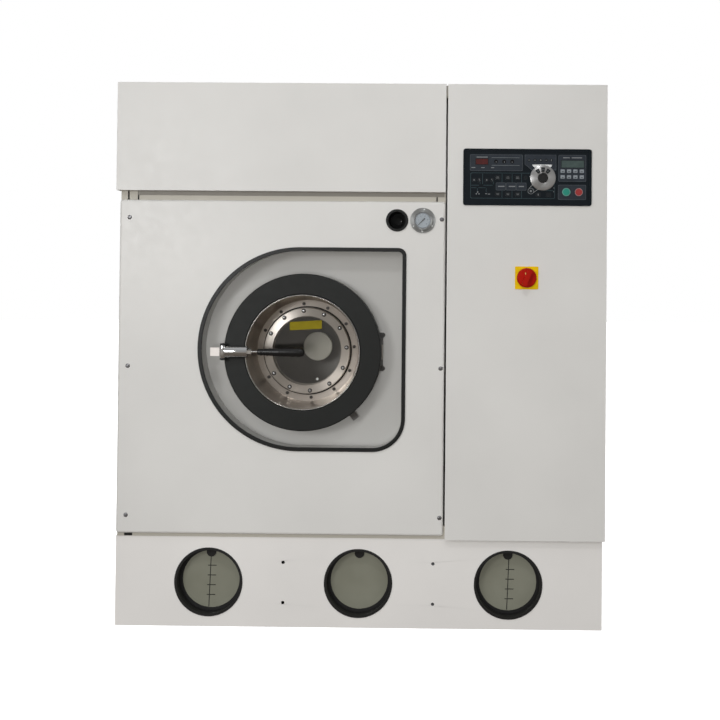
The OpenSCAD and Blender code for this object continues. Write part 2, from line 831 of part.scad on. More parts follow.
// Annular casting, open at the back, with rounded front edges
module door_ring() color([0.13, 0.14, 0.13]) {
    round_r = 4;
    outer_arc = [for (a = [0 : 15 : 90])
        [ring_r - round_r + round_r * sin(a), ring_y + round_r - round_r * cos(a)]];
    inner_arc = [for (a = [90 : -15 : 0])
        [ring_bore_r + round_r - round_r * sin(a), ring_y + round_r - round_r * cos(a)]];
    at(door_x, door_z)
        difference() {
            lathe_y(concat(inner_arc, outer_arc, [[ring_r, ring_back_y], [ring_bore_r, ring_back_y]]));
            lathe_y([[ring_bore_r + ring_wall, ring_y + ring_wall], [ring_r - ring_wall, ring_y + ring_wall],
                [ring_r - ring_wall, ring_back_y + cut], [ring_bore_r + ring_wall, ring_back_y + cut]]);
        }
}

// Tapered dish with a rolled rim, a bolted flange at its bottom and a plate behind the ring
module door_dish() color("silver")
    at(door_x, door_z) {
        difference() {
            lathe_y([[rim_r, ring_y - 1], [rim_r + dish_t, ring_y - 1],
                [rim_r + dish_t, ring_back_y], [ring_r - 3, ring_back_y], [ring_r - 3, plate_back_y],
                [rim_r + dish_t, plate_back_y], [flange_r + dish_t, flange_y + flange_t],
                [flange_bore_r, flange_y + flange_t], [flange_bore_r, flange_y], [flange_r, flange_y]]);
            tube_y(clamp_d / 2 + 5, clamp_d / 2 + 0.5, flange_y - cut, flange_y + 3);
            ring_of(bolt_count, bolt_pcd, bolt_start) disc_y(3.1, flange_y - cut, flange_y + flange_t + cut);
            ring_of(bolt_count, clamp_pcd, bolt_start) disc_y(2.5, flange_y - cut, flange_y + flange_t + cut);
        }
        hinge_eye();
    }

// The door's half of the hinge, drawn from the door's centre
module hinge_eye()
    translate([hinge_x - door_x, hinge_y, -eye_half])
        difference() {
            union() {
                cylinder(r = knuckle_r, h = 2 * eye_half);
                translate([-20, plate_back_y - hinge_y, 0])
                    cube([20, hinge_y - plate_back_y, 2 * eye_half]);
            }
            translate([0, 0, -cut]) cylinder(d = hinge_pin_d + 2 * run_fit, h = 2 * eye_half + 2 * cut);
        }

module clamp_ring() color("silver")
    at(door_x, door_z)
        difference() {
            lathe_y([[clamp_bore_d / 2, flange_y - glass_t - 6], [clamp_d / 2 - 2, flange_y - glass_t - 6],
                [clamp_d / 2, flange_y - glass_t - 4], [clamp_d / 2, flange_y],
                [glass_d / 2 + 1, flange_y], [glass_d / 2 + 1, flange_y - glass_t],
                [clamp_bore_d / 2, flange_y - glass_t]]);
            ring_of(bolt_count, clamp_pcd, bolt_start)
                disc_y(2.5, flange_y - glass_t - 6 - cut, flange_y + cut);
        }

module door_glass() color([0.25, 0.27, 0.27, 0.5])
    at(door_x, door_z) disc_y(glass_d / 2, flange_y - glass_t, flange_y);

module door_bolts() color([0.25, 0.24, 0.22])
    at(door_x, door_z)
        ring_of(bolt_count, bolt_pcd, bolt_start) {
            rotate([-90, 0, 0]) translate([0, 0, flange_y - 5]) cylinder(r = 6, h = 5, $fn = 6);
            disc_y(3, flange_y, flange_y + flange_t);
        }

module clamp_screws() color("silver")
    at(door_x, door_z)
        ring_of(bolt_count, clamp_pcd, bolt_start) {
            y = flange_y - glass_t - 6;
            lathe_y([[0, y - 3], [3, y - 2.6], [4.5, y - 1], [4.5, y], [0, y]]);
            disc_y(2.4, y, flange_y + flange_t);
        }

module door_seal() color([0.2, 0.2, 0.2])
    at(door_x, door_z) tube_y(seal_out_r, seal_in_r, plate_back_y, plate_back_y + seal_t);

module hinge_bracket() color("gray")
    translate([hinge_x, 0, door_z]) {
        plate_y0 = pan_y - 2.5;
        difference() {
            union() {
                block(-10, 9, plate_y0, pan_y, -hinge_bolt_up - 9, hinge_bolt_up + 9);
                for (s = [-1, 1]) {
                    at(8, s * hinge_bolt_up) disc_y(8, plate_y0, pan_y);
                    z0 = s > 0 ? eye_half + 0.5 : -bracket_half;
                    translate([0, hinge_y, z0]) cylinder(r = knuckle_r, h = bracket_half - eye_half - 0.5);
                    block(-6, 6, hinge_y, pan_y, z0, z0 + bracket_half - eye_half - 0.5);
                }
            }
            translate([0, hinge_y, -bracket_half - cut]) cylinder(d = hinge_pin_d, h = 2 * bracket_half + 2 * cut);
        }
        translate([0, hinge_y, -bracket_half - 3]) cylinder(d = hinge_pin_d, h = 2 * bracket_half + 6);
        for (s = [-1, 1])
            at(8, s * hinge_bolt_up) rotate([-90, 0, 0]) translate([0, 0, plate_y0 - 6])
                cylinder(r = 6, h = 6, $fn = 6);
    }

module striker_tab() color("gray")
    at(door_x, door_z)
        rotate([0, 51.8, 0]) block(seal_out_r + 6, ring_r + 24, plate_back_y, plate_back_y + 5, -11, 11);

// ---- latch, drawn about its pin ----

module latch_bracket() color("dimgray")
    translate([latch_x, latch_y, latch_z]) {
        difference() {
            for (s = [-1, 1]) {
                z0 = s > 0 ? ear_in : -ear_in - ear_t;
                translate([0, 0, z0]) cylinder(r = 9, h = ear_t);
                block(-1, 9, 0, ring_y - latch_y, z0, z0 + ear_t);
            }
            translate([0, 0, -latch_pin_l]) cylinder(d = latch_pin_d, h = 2 * latch_pin_l);
        }
        translate([0, 0, -latch_pin_l / 2]) cylinder(d = latch_pin_d, h = latch_pin_l);
    }

module latch_barrel() color("silver")
    translate([latch_x, latch_y, latch_z])
        difference() {
            union() {
                translate([0, 0, -ear_in + gap]) cylinder(r = 9.5, h = 2 * ear_in - 2 * gap);
                block(-nose_l, -6, -nose_t / 2, nose_t / 2, -nose_h / 2, nose_h / 2);
                disc_x(8, 0, 12);
                disc_x(barrel_d / 2, 10, 2 + barrel_l);
                disc_x(barrel_d / 2 - 2, 2 + barrel_l, 3.5 + barrel_l);
            }
            translate([0, 0, -ear_in - cut]) cylinder(d = latch_pin_d + 2 * run_fit, h = 2 * ear_in + 2 * cut);
        }

grip_x0 = 3.5 + barrel_l;

// Hex nut, thin rod and tapered grip with a round end
module latch_grip() color([0.08, 0.08, 0.08])
    translate([latch_x, latch_y, latch_z]) {
        nut_l = 13;
        x1 = grip_x0 + rod_l;
        x2 = x1 + grip_l - grip_d / 2;
        r0 = grip_thin_d / 2;
        r1 = grip_d / 2;
        translate([grip_x0, 0, 0]) rotate([0, 90, 0]) cylinder(r = 11.5, h = nut_l, $fn = 6);
        rotate([0, 90, 0]) rotate_extrude() polygon(concat(
            [[0, grip_x0 + nut_l], [4, grip_x0 + nut_l], [4, x1], [r0 - 2, x1], [r0, x1 + 2],
                [r1 - 1.5, x1 + grip_l * 0.45], [r1, x1 + grip_l * 0.75]],
            [for (a = [0 : 10 : 90]) [r1 * cos(a), x2 + r1 * sin(a)]]));
    }

// ---- tub and drum ----

module chute(x0, x1)
    difference() {
        block(x0, x1, chute_y0, chute_y1, door_z + tub_r * 0.7, chute_top);
        block(x0 + 3, x1 - 3, chute_y0 + 3, chute_y1 - 3, door_z + tub_r * 0.6, chute_top + cut);
    }

module tub() color("lightsteelblue")
    difference() {
        union() {
            at(door_x, door_z) {
                tube_y(tub_r, collar_r, pan_back_y, pan_back_y + tub_wall);
                tube_y(tub_r, tub_r - tub_wall, pan_back_y + tub_wall, tub_back_y - tub_wall);
                tube_y(tub_r, shaft_r + 2, tub_back_y - tub_wall, tub_back_y);
            }
            difference() {
                union() {
                    for (y = [pan_back_y + 20, tub_back_y - 50])
                        block(door_x - 300, door_x + 300, y, y + 8, deck_z, door_z - tub_r * 0.6);
                    chute(inlet_chute_x, inlet_chute_x + chute_w);
                    chute(cooler_x1 + 5, cooler_x1 + fan_w - 5);
                }
                at(door_x, door_z) disc_y(tub_r - tub_wall / 2, -body_d, body_d);
            }
        }
        for (x = [inlet_chute_x, cooler_x1 + 5])
            block(x + 3, x + chute_w - 3, chute_y0 + 3, chute_y1 - 3, door_z + drum_r + 10, chute_top + cut);
        at(door_x, door_z) intersection() {
            block(-tub_r, 0, trap_y + 60, trap_y + trap_d - 60, trap_top - 75 - door_z, trap_top - 25 - door_z);
            disc_y(tub_r + cut, trap_y, trap_y + trap_d);
        }
    }

// Front collar of the tub, with the lip that the door's seal presses on
module tub_collar() color("lightsteelblue")
    at(door_x, door_z) {
        tube_y(collar_r + 5, collar_r, collar_y + 5, pan_back_y);
        tube_y(lip_r, collar_r, collar_y, collar_y + 5);
    }

module drum() color("silver")
    at(door_x, door_z) {
        difference() {
            union() {
                tube_y(drum_r, mouth_d / 2, drum_y, drum_y + drum_wall);
                tube_y(mouth_d / 2 + drum_wall, mouth_d / 2, drum_y, drum_y + 15);
                tube_y(drum_r, drum_r - drum_wall, drum_y + drum_wall, drum_back_y - drum_wall);
                tube_y(drum_r, hub_d / 2 - 6, drum_back_y - drum_wall, drum_back_y);
            }
            for (i = [0 : 17], j = [0 : 2])
                rotate([0, 20 * i + 10, 0])
                    translate([drum_r - 10, drum_y + drum_depth * (0.25 + 0.25 * j), 0])
                        rotate([0, 90, 0]) cylinder(r = 8, h = 20);
        }
        for (i = [0 : 2])
            rotate([0, 120 * i + 30, 0])
                plate_y(drum_y + drum_wall, drum_back_y - drum_wall)
                    difference() {
                        polygon([[drum_r - 10, -60], [drum_r - 4, -58], [drum_r - 4, 58], [drum_r - 10, 60],
                            [drum_r - 72, 18], [drum_r - 72, -18]]);
                        polygon([[drum_r - 14, -44], [drum_r - 14, 44], [drum_r - 68, 14], [drum_r - 68, -14]]);
                    }
    }

module drum_shaft() color("silver")
    at(door_x, door_z) {
        r = hub_d / 2;
        y = drum_back_y - drum_wall - hub_h;
        lathe_y([[0, y], [r - 4, y], [r - 1, y + 1], [r, y + 4], [r, y + 8], [r - 6, y + 10],
            [r - 6, drum_back_y], [shaft_r, drum_back_y], [shaft_r, pulley_y + pulley_w],
            [0, pulley_y + pulley_w]]);
    }

module bearing_housing() color("slategray")
    at(door_x, door_z) {
        difference() {
            union() {
                disc_y(120, tub_back_y, tub_back_y + 15);
                disc_y(bearing_r + 17, tub_back_y, housing_y1);
                for (i = [0 : 5])
                    rotate([0, 60 * i, 0])
                        block(-5, 5, tub_back_y, housing_y1 - 60, bearing_r, 112);
            }
            disc_y(bearing_r, tub_back_y - cut, housing_y1 + cut);
        }
    }

module shaft_bearings() color("lightgray")
    at(door_x, door_z)
        for (y = [tub_back_y + 6, housing_y1 - 6 - bearing_w])
            tube_y(bearing_r, shaft_r + run_fit, y, y + bearing_w);

// Pulley with two flanges and a seat for a flat belt, bored at the middle
module pulley(r, bore_r, y0)
    difference() {
        lathe_y([[bore_r, y0], [r, y0], [r, y0 + pulley_flange], [r - belt_seat, y0 + pulley_flange],
            [r - belt_seat, y0 + pulley_w - pulley_flange], [r, y0 + pulley_w - pulley_flange],
            [r, y0 + pulley_w], [bore_r, y0 + pulley_w]]);
        if (r > 2 * bore_r + 30)
            tube_y(r - belt_seat - 12, bore_r + 18, y0 + pulley_w / 2 + 6, y0 + pulley_w + cut);
    }

module drum_pulley() color("darkgray")
    at(door_x, door_z) pulley(drum_pulley_d / 2, shaft_r, pulley_y);

module motor_pulley() color("darkgray")
    at(motor_x, motor_z) {
        pulley(motor_pulley_d / 2, motor_shaft_r, pulley_y);
        disc_y(motor_shaft_r, pulley_y, motor_y + 40);
    }

// Flat belt: one closed loop of an arc round each pulley and the two straight runs between them
module drive_belt() color([0.15, 0.15, 0.15]) {
    ra = drum_pulley_d / 2 - belt_seat + gap;
    rb = motor_pulley_d / 2 - belt_seat + gap;
    w = pulley_w - 2 * pulley_flange - 2;
    d = [motor_x - door_x, motor_z - door_z];
    along = atan2(d[1], d[0]);
    lean = acos((ra - rb) / norm(d));
    steps = 60;
    loops = [for (grow = [0, belt_t]) concat(
        [for (i = [0 : steps]) let (a = along + lean + i * (360 - 2 * lean) / steps)
            (ra + grow) * [cos(a), sin(a)]],
        [for (i = [0 : steps]) let (a = along - lean + i * 2 * lean / steps)
            d + (rb + grow) * [cos(a), sin(a)]])];
    y0 = pulley_y + (pulley_w - w) / 2;
    at(door_x, door_z)
        plate_y(y0, y0 + w)
            difference() {
                polygon(loops[1]);
                polygon(loops[0]);
            }
}

module drive_motor() color("steelblue")
    difference() {
        union() {
            at(motor_x, motor_z) {
                disc_y(motor_d / 2, motor_y, motor_y + motor_l);
                for (i = [0 : 15])
                    rotate([0, 22.5 * i, 0])
                        block(-2, 2, motor_y + 30, motor_y + motor_l - 30, motor_d / 2 - 2, motor_d / 2 + 8);
            }
            for (y = [motor_y + 40, motor_y + motor_l - 60])
                block(motor_x - 75, motor_x + 75, y, y + 20, deck_z, motor_z);
            block(motor_x - 90, motor_x + 90, motor_y + 10, motor_y + motor_l - 10, deck_z, deck_z + 10);
        }
        at(motor_x, motor_z) {
            disc_y(motor_shaft_r + run_fit, motor_y - cut, motor_y + 45);
            tube_y(motor_d / 2 - 8, 35, motor_y + 60, motor_y + motor_l - 8);
        }
    }

// ---- air ----

module fan_housing() color("lightsteelblue")
    difference() {
        union() {
            translate([0, fan_y, fan_z]) disc_x(fan_d / 2, cooler_x1, cooler_x1 + fan_w);
            block(cooler_x1, cooler_x1 + fan_w, chute_y0, fan_y + fan_d / 2, beam_z, fan_z);
        }
        translate([0, fan_y, fan_z]) {
            disc_x(fan_d / 2 - 3, cooler_x1 + 3, cooler_x1 + fan_w - 3);
            disc_x(80, cooler_x1 - cut, cooler_x1 + 4);
            disc_x(fan_shaft_r + 2, cooler_x1 + 4, cooler_x1 + fan_w + cut);
        }
        block(cooler_x1 + 3, cooler_x1 + fan_w - 3, chute_y0 + 3, chute_y1 - 3, beam_z - cut, fan_z);
    }

module fan_wheel() color("darkgray")
    translate([0, fan_y, fan_z]) {
        disc_x(fan_d / 2 - 18, cooler_x1 + fan_w - 16, cooler_x1 + fan_w - 12);
        disc_x(24, cooler_x1 + 25, cooler_x1 + fan_w - 12);
        disc_x(fan_shaft_r, cooler_x1 + fan_w - 12, cooler_x1 + fan_w + 50);
        for (i = [0 : 11])
            rotate([30 * i, 0, 0])
                block(cooler_x1 + 25, cooler_x1 + fan_w - 14, -1.5, 1.5, 20, fan_d / 2 - 20);
    }

module fan_motor() color("steelblue")
    translate([0, fan_y, fan_z])
        difference() {
            union() {
                disc_x(85, cooler_x1 + fan_w, cooler_x1 + fan_w + 8);
                disc_x(70, cooler_x1 + fan_w + 8, cooler_x1 + fan_w + 170);
            }
            disc_x(fan_shaft_r + run_fit, cooler_x1 + fan_w - cut, cooler_x1 + fan_w + 60);
        }

module heat_exchanger() color("lightgray") {
    y1 = cooler_y0 + cooler_w;
    z1 = beam_z + cooler_h;
    difference() {
        block(cooler_x0, cooler_x1, cooler_y0, y1, beam_z, z1);
        block(cooler_x0 + 2, cooler_x1 - 2, cooler_y0 + 2, y1 - 2, beam_z + 2, z1 - 2);
        block(inlet_chute_x + 3, inlet_chute_x + chute_w - 3, chute_y0 + 3, chute_y1 - 3, beam_z - cut, beam_z + 3);
        translate([0, fan_y, fan_z]) disc_x(80, cooler_x1 - 3, cooler_x1 + cut);
    }
    for (i = [0 : 2], j = [0 : 3])
        translate([inlet_chute_x + 160 + 50 * i, cooler_y0 + 2, beam_z + 60 + 55 * j])
            rotate([-90, 0, 0]) translate([0, 0, gap]) cylinder(r = 12, h = cooler_w - 4 - 2 * gap);
}

// ---- solvent ----

trap_hinge = [trap_x - 4, trap_top + 8];
trap_pin_r = 4;

module button_trap() color("silver") {
    difference() {
        union() {
            block(trap_x, trap_x + trap_w, trap_y, trap_y + trap_d, deck_z, trap_top);
            block(trap_x + trap_w, door_x, trap_y + 50, trap_y + trap_d - 50, trap_top - 85, trap_top - 15);
        }
        block(trap_x + 3, trap_x + trap_w - 3, trap_y + 3, trap_y + trap_d - 3, deck_z + 3, trap_top + cut);
        block(trap_x + trap_w - 4, door_x - cut, trap_y + 53, trap_y + trap_d - 53, trap_top - 82, trap_top - 18);
        at(door_x, door_z) disc_y(tub_r + gap, trap_y, trap_y + trap_d, $fn = 720);
    }
    for (y = [trap_y + 20, trap_y + trap_d - 40])
        difference() {
            union() {
                block(trap_hinge[0] - 8, trap_x, y, y + 20, trap_top - 30, trap_hinge[1]);
                translate([trap_hinge[0], 0, trap_hinge[1]]) disc_y(8, y, y + 20);
            }
            translate([trap_hinge[0], 0, trap_hinge[1]]) disc_y(trap_pin_r, y - cut, y + 20 + cut);
        }
    translate([trap_hinge[0], 0, trap_hinge[1]]) disc_y(trap_pin_r, trap_y + 15, trap_y + trap_d - 15);
}

module trap_lid() color("gray") {
    y0 = trap_y + 42;
    y1 = trap_y + trap_d - 42;
    difference() {
        union() {
            block(trap_x + 6, trap_x + trap_w, trap_y, trap_y + trap_d, trap_top + gap, trap_top + 6);
            block(trap_hinge[0], trap_x + 8, y0, y1, trap_top + 1, trap_top + 6);
            translate([trap_hinge[0], 0, trap_hinge[1]]) disc_y(7.5, y0, y1);
            block(trap_x + trap_w - 50, trap_x + trap_w - 30, (y0 + y1) / 2 - 40, (y0 + y1) / 2 + 40,
                trap_top + 6, trap_top + 24);
        }
        translate([trap_hinge[0], 0, trap_hinge[1]]) disc_y(trap_pin_r + run_fit, y0 - cut, y1 + cut);
    }
}

// Closed vessel standing on three legs, hollow inside
module vessel(pos, r, z0, h, top_h, neck_r) {
    translate([pos[0], pos[1], z0]) {
        difference() {
            rotate_extrude() polygon([[0, 0], [r, 0], [r, h], [neck_r, h + top_h], [0, h + top_h]]);
            rotate_extrude() polygon([[0, vessel_wall], [r - vessel_wall, vessel_wall], [r - vessel_wall, h],
                [neck_r - vessel_wall, h + top_h - vessel_wall], [0, h + top_h - vessel_wall]]);
        }
        for (i = [0 : 2])
            rotate([0, 0, 120 * i + 30]) translate([r - 30, 0, deck_z - z0]) cylinder(r = 15, h = z0 - deck_z);
    }
}

module still() color("silver") {
    vessel(still_pos, still_d / 2, still_z, still_h, still_cone_h, 50);
    translate([still_pos[0], still_pos[1], still_top - 1]) cylinder(r = 40, h = still_neck_h);
}

module condenser() color("lightsteelblue") {
    translate([still_pos[0], condenser_y, condenser_z])
        difference() {
            cylinder(d = condenser_d, h = condenser_h);
            translate([0, 0, vessel_wall])
                cylinder(d = condenser_d - 2 * vessel_wall, h = condenser_h - 2 * vessel_wall);
        }
    block(still_pos[0] - 40, still_pos[0] + 40, condenser_y + condenser_d / 2 - 20, post_rear_y,
        saddle_z + 5, saddle_z + post - 5);
    translate([still_pos[0], still_pos[1], still_top + still_neck_h - 1])
        cylinder(r = 30, h = vapour_z - still_top - still_neck_h + 1);
    translate([still_pos[0], 0, vapour_z]) disc_y(30, still_pos[1], condenser_y - condenser_d / 2 + 10);
    translate([still_pos[0], still_pos[1], vapour_z]) sphere(30);
}

module filter_vessel() color("silver") {
    vessel(filter_pos, filter_d / 2, deck_z + leg_h, filter_h, 50, 70);
    translate([filter_pos[0], filter_pos[1], deck_z + leg_h + filter_h - 20])
        difference() {
            cylinder(r = filter_d / 2 + 18, h = 16);
            translate([0, 0, -cut]) cylinder(r = filter_d / 2 - 1, h = 16 + 2 * cut);
        }
}

module solvent_pump() color("steelblue") {
    z = deck_z + 85;
    translate([pump_pos[0], pump_pos[1], z]) {
        disc_x(70, -80, -20);
        disc_x(58, -20, 150);
        translate([-50, 0, 60]) cylinder(r = 18, h = 60);
    }
    block(pump_pos[0] - 70, pump_pos[0] + 140, pump_pos[1] - 45, pump_pos[1] + 45, deck_z, z - 40);
}

module compressor() color([0.15, 0.15, 0.16]) {
    translate([compressor_pos[0], compressor_pos[1], deck_z + leg_h - 10]) {
        r = compressor_d / 2;
        difference() {
            rotate_extrude() polygon([[0, 0], [r * 0.88, 0], [r, r * 0.12], [r, compressor_h * 0.73],
                [r * 0.84, compressor_h * 0.89], [r * 0.52, compressor_h * 0.975], [0, compressor_h]]);
            translate([0, 0, 12]) cylinder(r = r * 0.8, h = compressor_h * 0.75);
        }
        for (i = [0 : 3])
            rotate([0, 0, 90 * i + 45]) translate([r - 25, 0, 10 - leg_h]) cylinder(r = 14, h = leg_h - 8);
    }
}

// Open-fronted box between the column's posts, with rows of switchgear on its back
module electrical_box() color("lightgray") {
    x0 = post_xs[1] + post;
    x1 = post_xs[2];
    difference() {
        block(x0, x1, ebox_y0, ebox_y1, ebox_z0, ebox_z1);
        block(x0 + 2, x1 - 2, ebox_y0 - cut, ebox_y1 - 2, ebox_z0 + 2, ebox_z1 - 2);
    }
    for (i = [0 : 4], j = [0 : 2])
        block(x0 + 60 + 80 * i, x0 + 105 + 80 * i, ebox_y1 - 90, ebox_y1 - 2,
            ebox_z0 + 100 + 180 * j, ebox_z0 + 190 + 180 * j);
}

// ---- rear connections ----

module stub_spots()
    for (i = [0 : 4]) {
        $stub_r = [water_stub_d, water_stub_d, steam_stub_d, steam_stub_d, air_stub_d][i] / 2;
        $stub_hole = $stub_r - (i < 4 ? 3 : 2);
        at(stub_x + i * stub_pitch, stub_z) children();
    }

module service_stubs() color("goldenrod") {
    stub_spots()
        difference() {
            union() {
                disc_y($stub_r, rear_y - 60, rear_y + stub_l);
                disc_y($stub_r + 8, rear_y - sheet_t - 8, rear_y - sheet_t);
            }
            disc_y($stub_hole, rear_y - 60 - cut, rear_y + stub_l + cut);
        }
    at(stub_x + 3 * stub_pitch, gland_z)
        difference() {
            union() {
                rotate([-90, 0, 0]) translate([0, 0, rear_y]) cylinder(r = gland_r, h = 12, $fn = 6);
                disc_y(gland_r - 6.5, rear_y - 14, rear_y + 28);
            }
            disc_y(gland_bore_d / 2, rear_y - 14 - cut, rear_y + 28 + cut);
        }
}

// ---- drawing ----

base_frame();
base_cover();
tank_block();
machine_frame();
front_panel();
panel_trim();
recess_pan();
hood_cover();
column_cover();
left_cover();
rear_cover();
panel_screws();
sight_rings();
sight_glasses();
control_panel();
keypad();
start_button();
stop_button();
gauge_case();
gauge_needle();
gauge_glass();
regulator_cup();
regulator_knob();
isolator_plate();
isolator_knob();
door_ring();
door_dish();
clamp_ring();
door_glass();
door_bolts();
clamp_screws();
door_seal();
hinge_bracket();
striker_tab();
latch_bracket();
latch_barrel();
latch_grip();
tub();
tub_collar();
drum();
drum_shaft();
bearing_housing();
shaft_bearings();
drum_pulley();
drive_belt();
drive_motor();
motor_pulley();
fan_housing();
fan_wheel();
fan_motor();
heat_exchanger();
button_trap();
trap_lid();
still();
condenser();
filter_vessel();
solvent_pump();
compressor();
electrical_box();
service_stubs();
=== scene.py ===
import bpy, bmesh, json, math
from mathutils import Matrix, Vector

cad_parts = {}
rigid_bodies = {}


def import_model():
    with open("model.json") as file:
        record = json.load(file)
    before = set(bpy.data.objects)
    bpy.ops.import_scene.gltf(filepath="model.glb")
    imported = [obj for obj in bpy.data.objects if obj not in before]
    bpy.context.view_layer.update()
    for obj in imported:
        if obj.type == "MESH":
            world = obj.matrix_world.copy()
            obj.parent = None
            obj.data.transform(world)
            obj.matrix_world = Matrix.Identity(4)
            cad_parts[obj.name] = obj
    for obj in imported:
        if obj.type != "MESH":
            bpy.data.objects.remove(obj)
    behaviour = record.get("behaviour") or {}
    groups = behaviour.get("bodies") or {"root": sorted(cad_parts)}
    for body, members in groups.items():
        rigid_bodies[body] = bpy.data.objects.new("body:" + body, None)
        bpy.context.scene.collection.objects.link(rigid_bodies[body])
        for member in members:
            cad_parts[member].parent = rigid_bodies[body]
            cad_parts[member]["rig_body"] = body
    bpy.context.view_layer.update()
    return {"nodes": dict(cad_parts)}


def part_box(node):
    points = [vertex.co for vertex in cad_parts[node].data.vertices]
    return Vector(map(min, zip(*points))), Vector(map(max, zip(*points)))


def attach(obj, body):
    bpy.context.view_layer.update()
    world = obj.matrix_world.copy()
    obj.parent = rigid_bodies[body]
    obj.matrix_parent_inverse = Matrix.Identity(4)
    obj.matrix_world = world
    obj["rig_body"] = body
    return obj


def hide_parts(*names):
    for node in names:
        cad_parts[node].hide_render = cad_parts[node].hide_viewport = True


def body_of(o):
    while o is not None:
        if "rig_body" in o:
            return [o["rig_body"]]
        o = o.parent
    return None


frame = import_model()
N = frame["nodes"]
PI = math.pi
ROOT = "machine"

# ---- places taken from the CAD, in metres; a pair is (x, z) in the front plane ----
PANEL_Y = -0.577        # face of the main front panel
RAIL_Y = -0.565         # face of the header rail and the base's upper edge
CP_Y = -0.589           # face of the control panel
RIM_Y = -0.5730         # front edge of the door dish
DRUM_BACK_Y = -0.1785   # inner face of the drum's rear wall
PX0, PX1, PZ0, PZ1 = -0.815, 0.284, 0.3135, 1.434   # edges of the main front panel
DOOR = (-0.194, 0.923)
RIM_R = 0.1925
SCREW_CIRCLE_R = 0.138
GAUGE = (0.208, 1.370)
CUP = (0.1215, 1.370)
ISO = (0.5575, 1.180)
SEL = (0.6095, 1.5154)
SIGHT_LEFT, SIGHT_RIGHT, SIGHT_Z = -0.504, 0.504, 0.149


# ---- shader helpers ----
def mat(name, color, rough=0.5, metal=0.0, **kw):
    m = bpy.data.materials.new(name)
    m.use_nodes = True
    b = m.node_tree.nodes["Principled BSDF"]
    b.inputs["Base Color"].default_value = (*color, 1)
    b.inputs["Roughness"].default_value = rough
    b.inputs["Metallic"].default_value = metal
    for k, v in kw.items():
        b.inputs[k.replace("_", " ")].default_value = v
    m.diffuse_color = (*color, 1)
    return m


def nd(m, kind, **kw):
    n = m.node_tree.nodes.new("ShaderNode" + kind)
    for k, v in kw.items():
        setattr(n, k, v)
    return n


def ln(m, a, b):
    m.node_tree.links.new(a, b)


def bsdf(m):
    return m.node_tree.nodes["Principled BSDF"]


def coords(m):
    return nd(m, "TexCoord").outputs["Object"]


def noise(m, vec, scale, detail=2.0, rough=0.5):
    n = nd(m, "TexNoise")
    n.inputs["Scale"].default_value = scale
    n.inputs["Detail"].default_value = detail
    n.inputs["Roughness"].default_value = rough
    ln(m, vec, n.inputs["Vector"])
    return n.outputs["Fac"]


def ramp(m, fac, a, b, lo=0.3, hi=0.7):
    """Maps fac from lo..hi to a..b."""
    r = nd(m, "MapRange")
    r.inputs["From Min"].default_value = lo
    r.inputs["From Max"].default_value = hi
    r.inputs["To Min"].default_value = a
    r.inputs["To Max"].default_value = b
    ln(m, fac, r.inputs["Value"])
    return r.outputs["Result"]


def tint(m, fac, c0, c1, lo=0.3, hi=0.7):
    """Lets the base colour wander between c0 and c1."""
    r = nd(m, "ValToRGB")
    r.color_ramp.elements[0].position = lo
    r.color_ramp.elements[1].position = hi
    r.color_ramp.elements[0].color = (*c0, 1)
    r.color_ramp.elements[1].color = (*c1, 1)
    ln(m, fac, r.inputs["Fac"])
    ln(m, r.outputs["Color"], bsdf(m).inputs["Base Color"])


def bump(m, height, strength, dist):
    b = nd(m, "Bump")
    b.inputs["Strength"].default_value = strength
    b.inputs["Distance"].default_value = dist
    ln(m, height, b.inputs["Height"])
    ln(m, b.outputs["Normal"], bsdf(m).inputs["Normal"])
    return b


def scale_c(c, k):
    return tuple(min(1.0, v * k) for v in c)


def specular(m, level):
    """Sets how strongly a finish mirrors what stands before it."""
    bsdf(m).inputs["Specular IOR Level"].default_value = level
    return m


# ---- finishes ----
def paint(name, color, rough=0.42, var=0.03, peel=0.25, peel_scale=900):
    """Sprayed paint: orange peel in the bump, faint cloudiness in colour and gloss."""
    m = mat(name, color, rough)
    v = coords(m)
    tint(m, noise(m, v, 3.0, 3.0), scale_c(color, 1 - var), scale_c(color, 1 + var))
    ln(m, ramp(m, noise(m, v, 35.0, 4.0), rough - 0.05, rough + 0.06), bsdf(m).inputs["Roughness"])
    bump(m, noise(m, v, peel_scale, 2.0), peel, 0.0002)
    return m


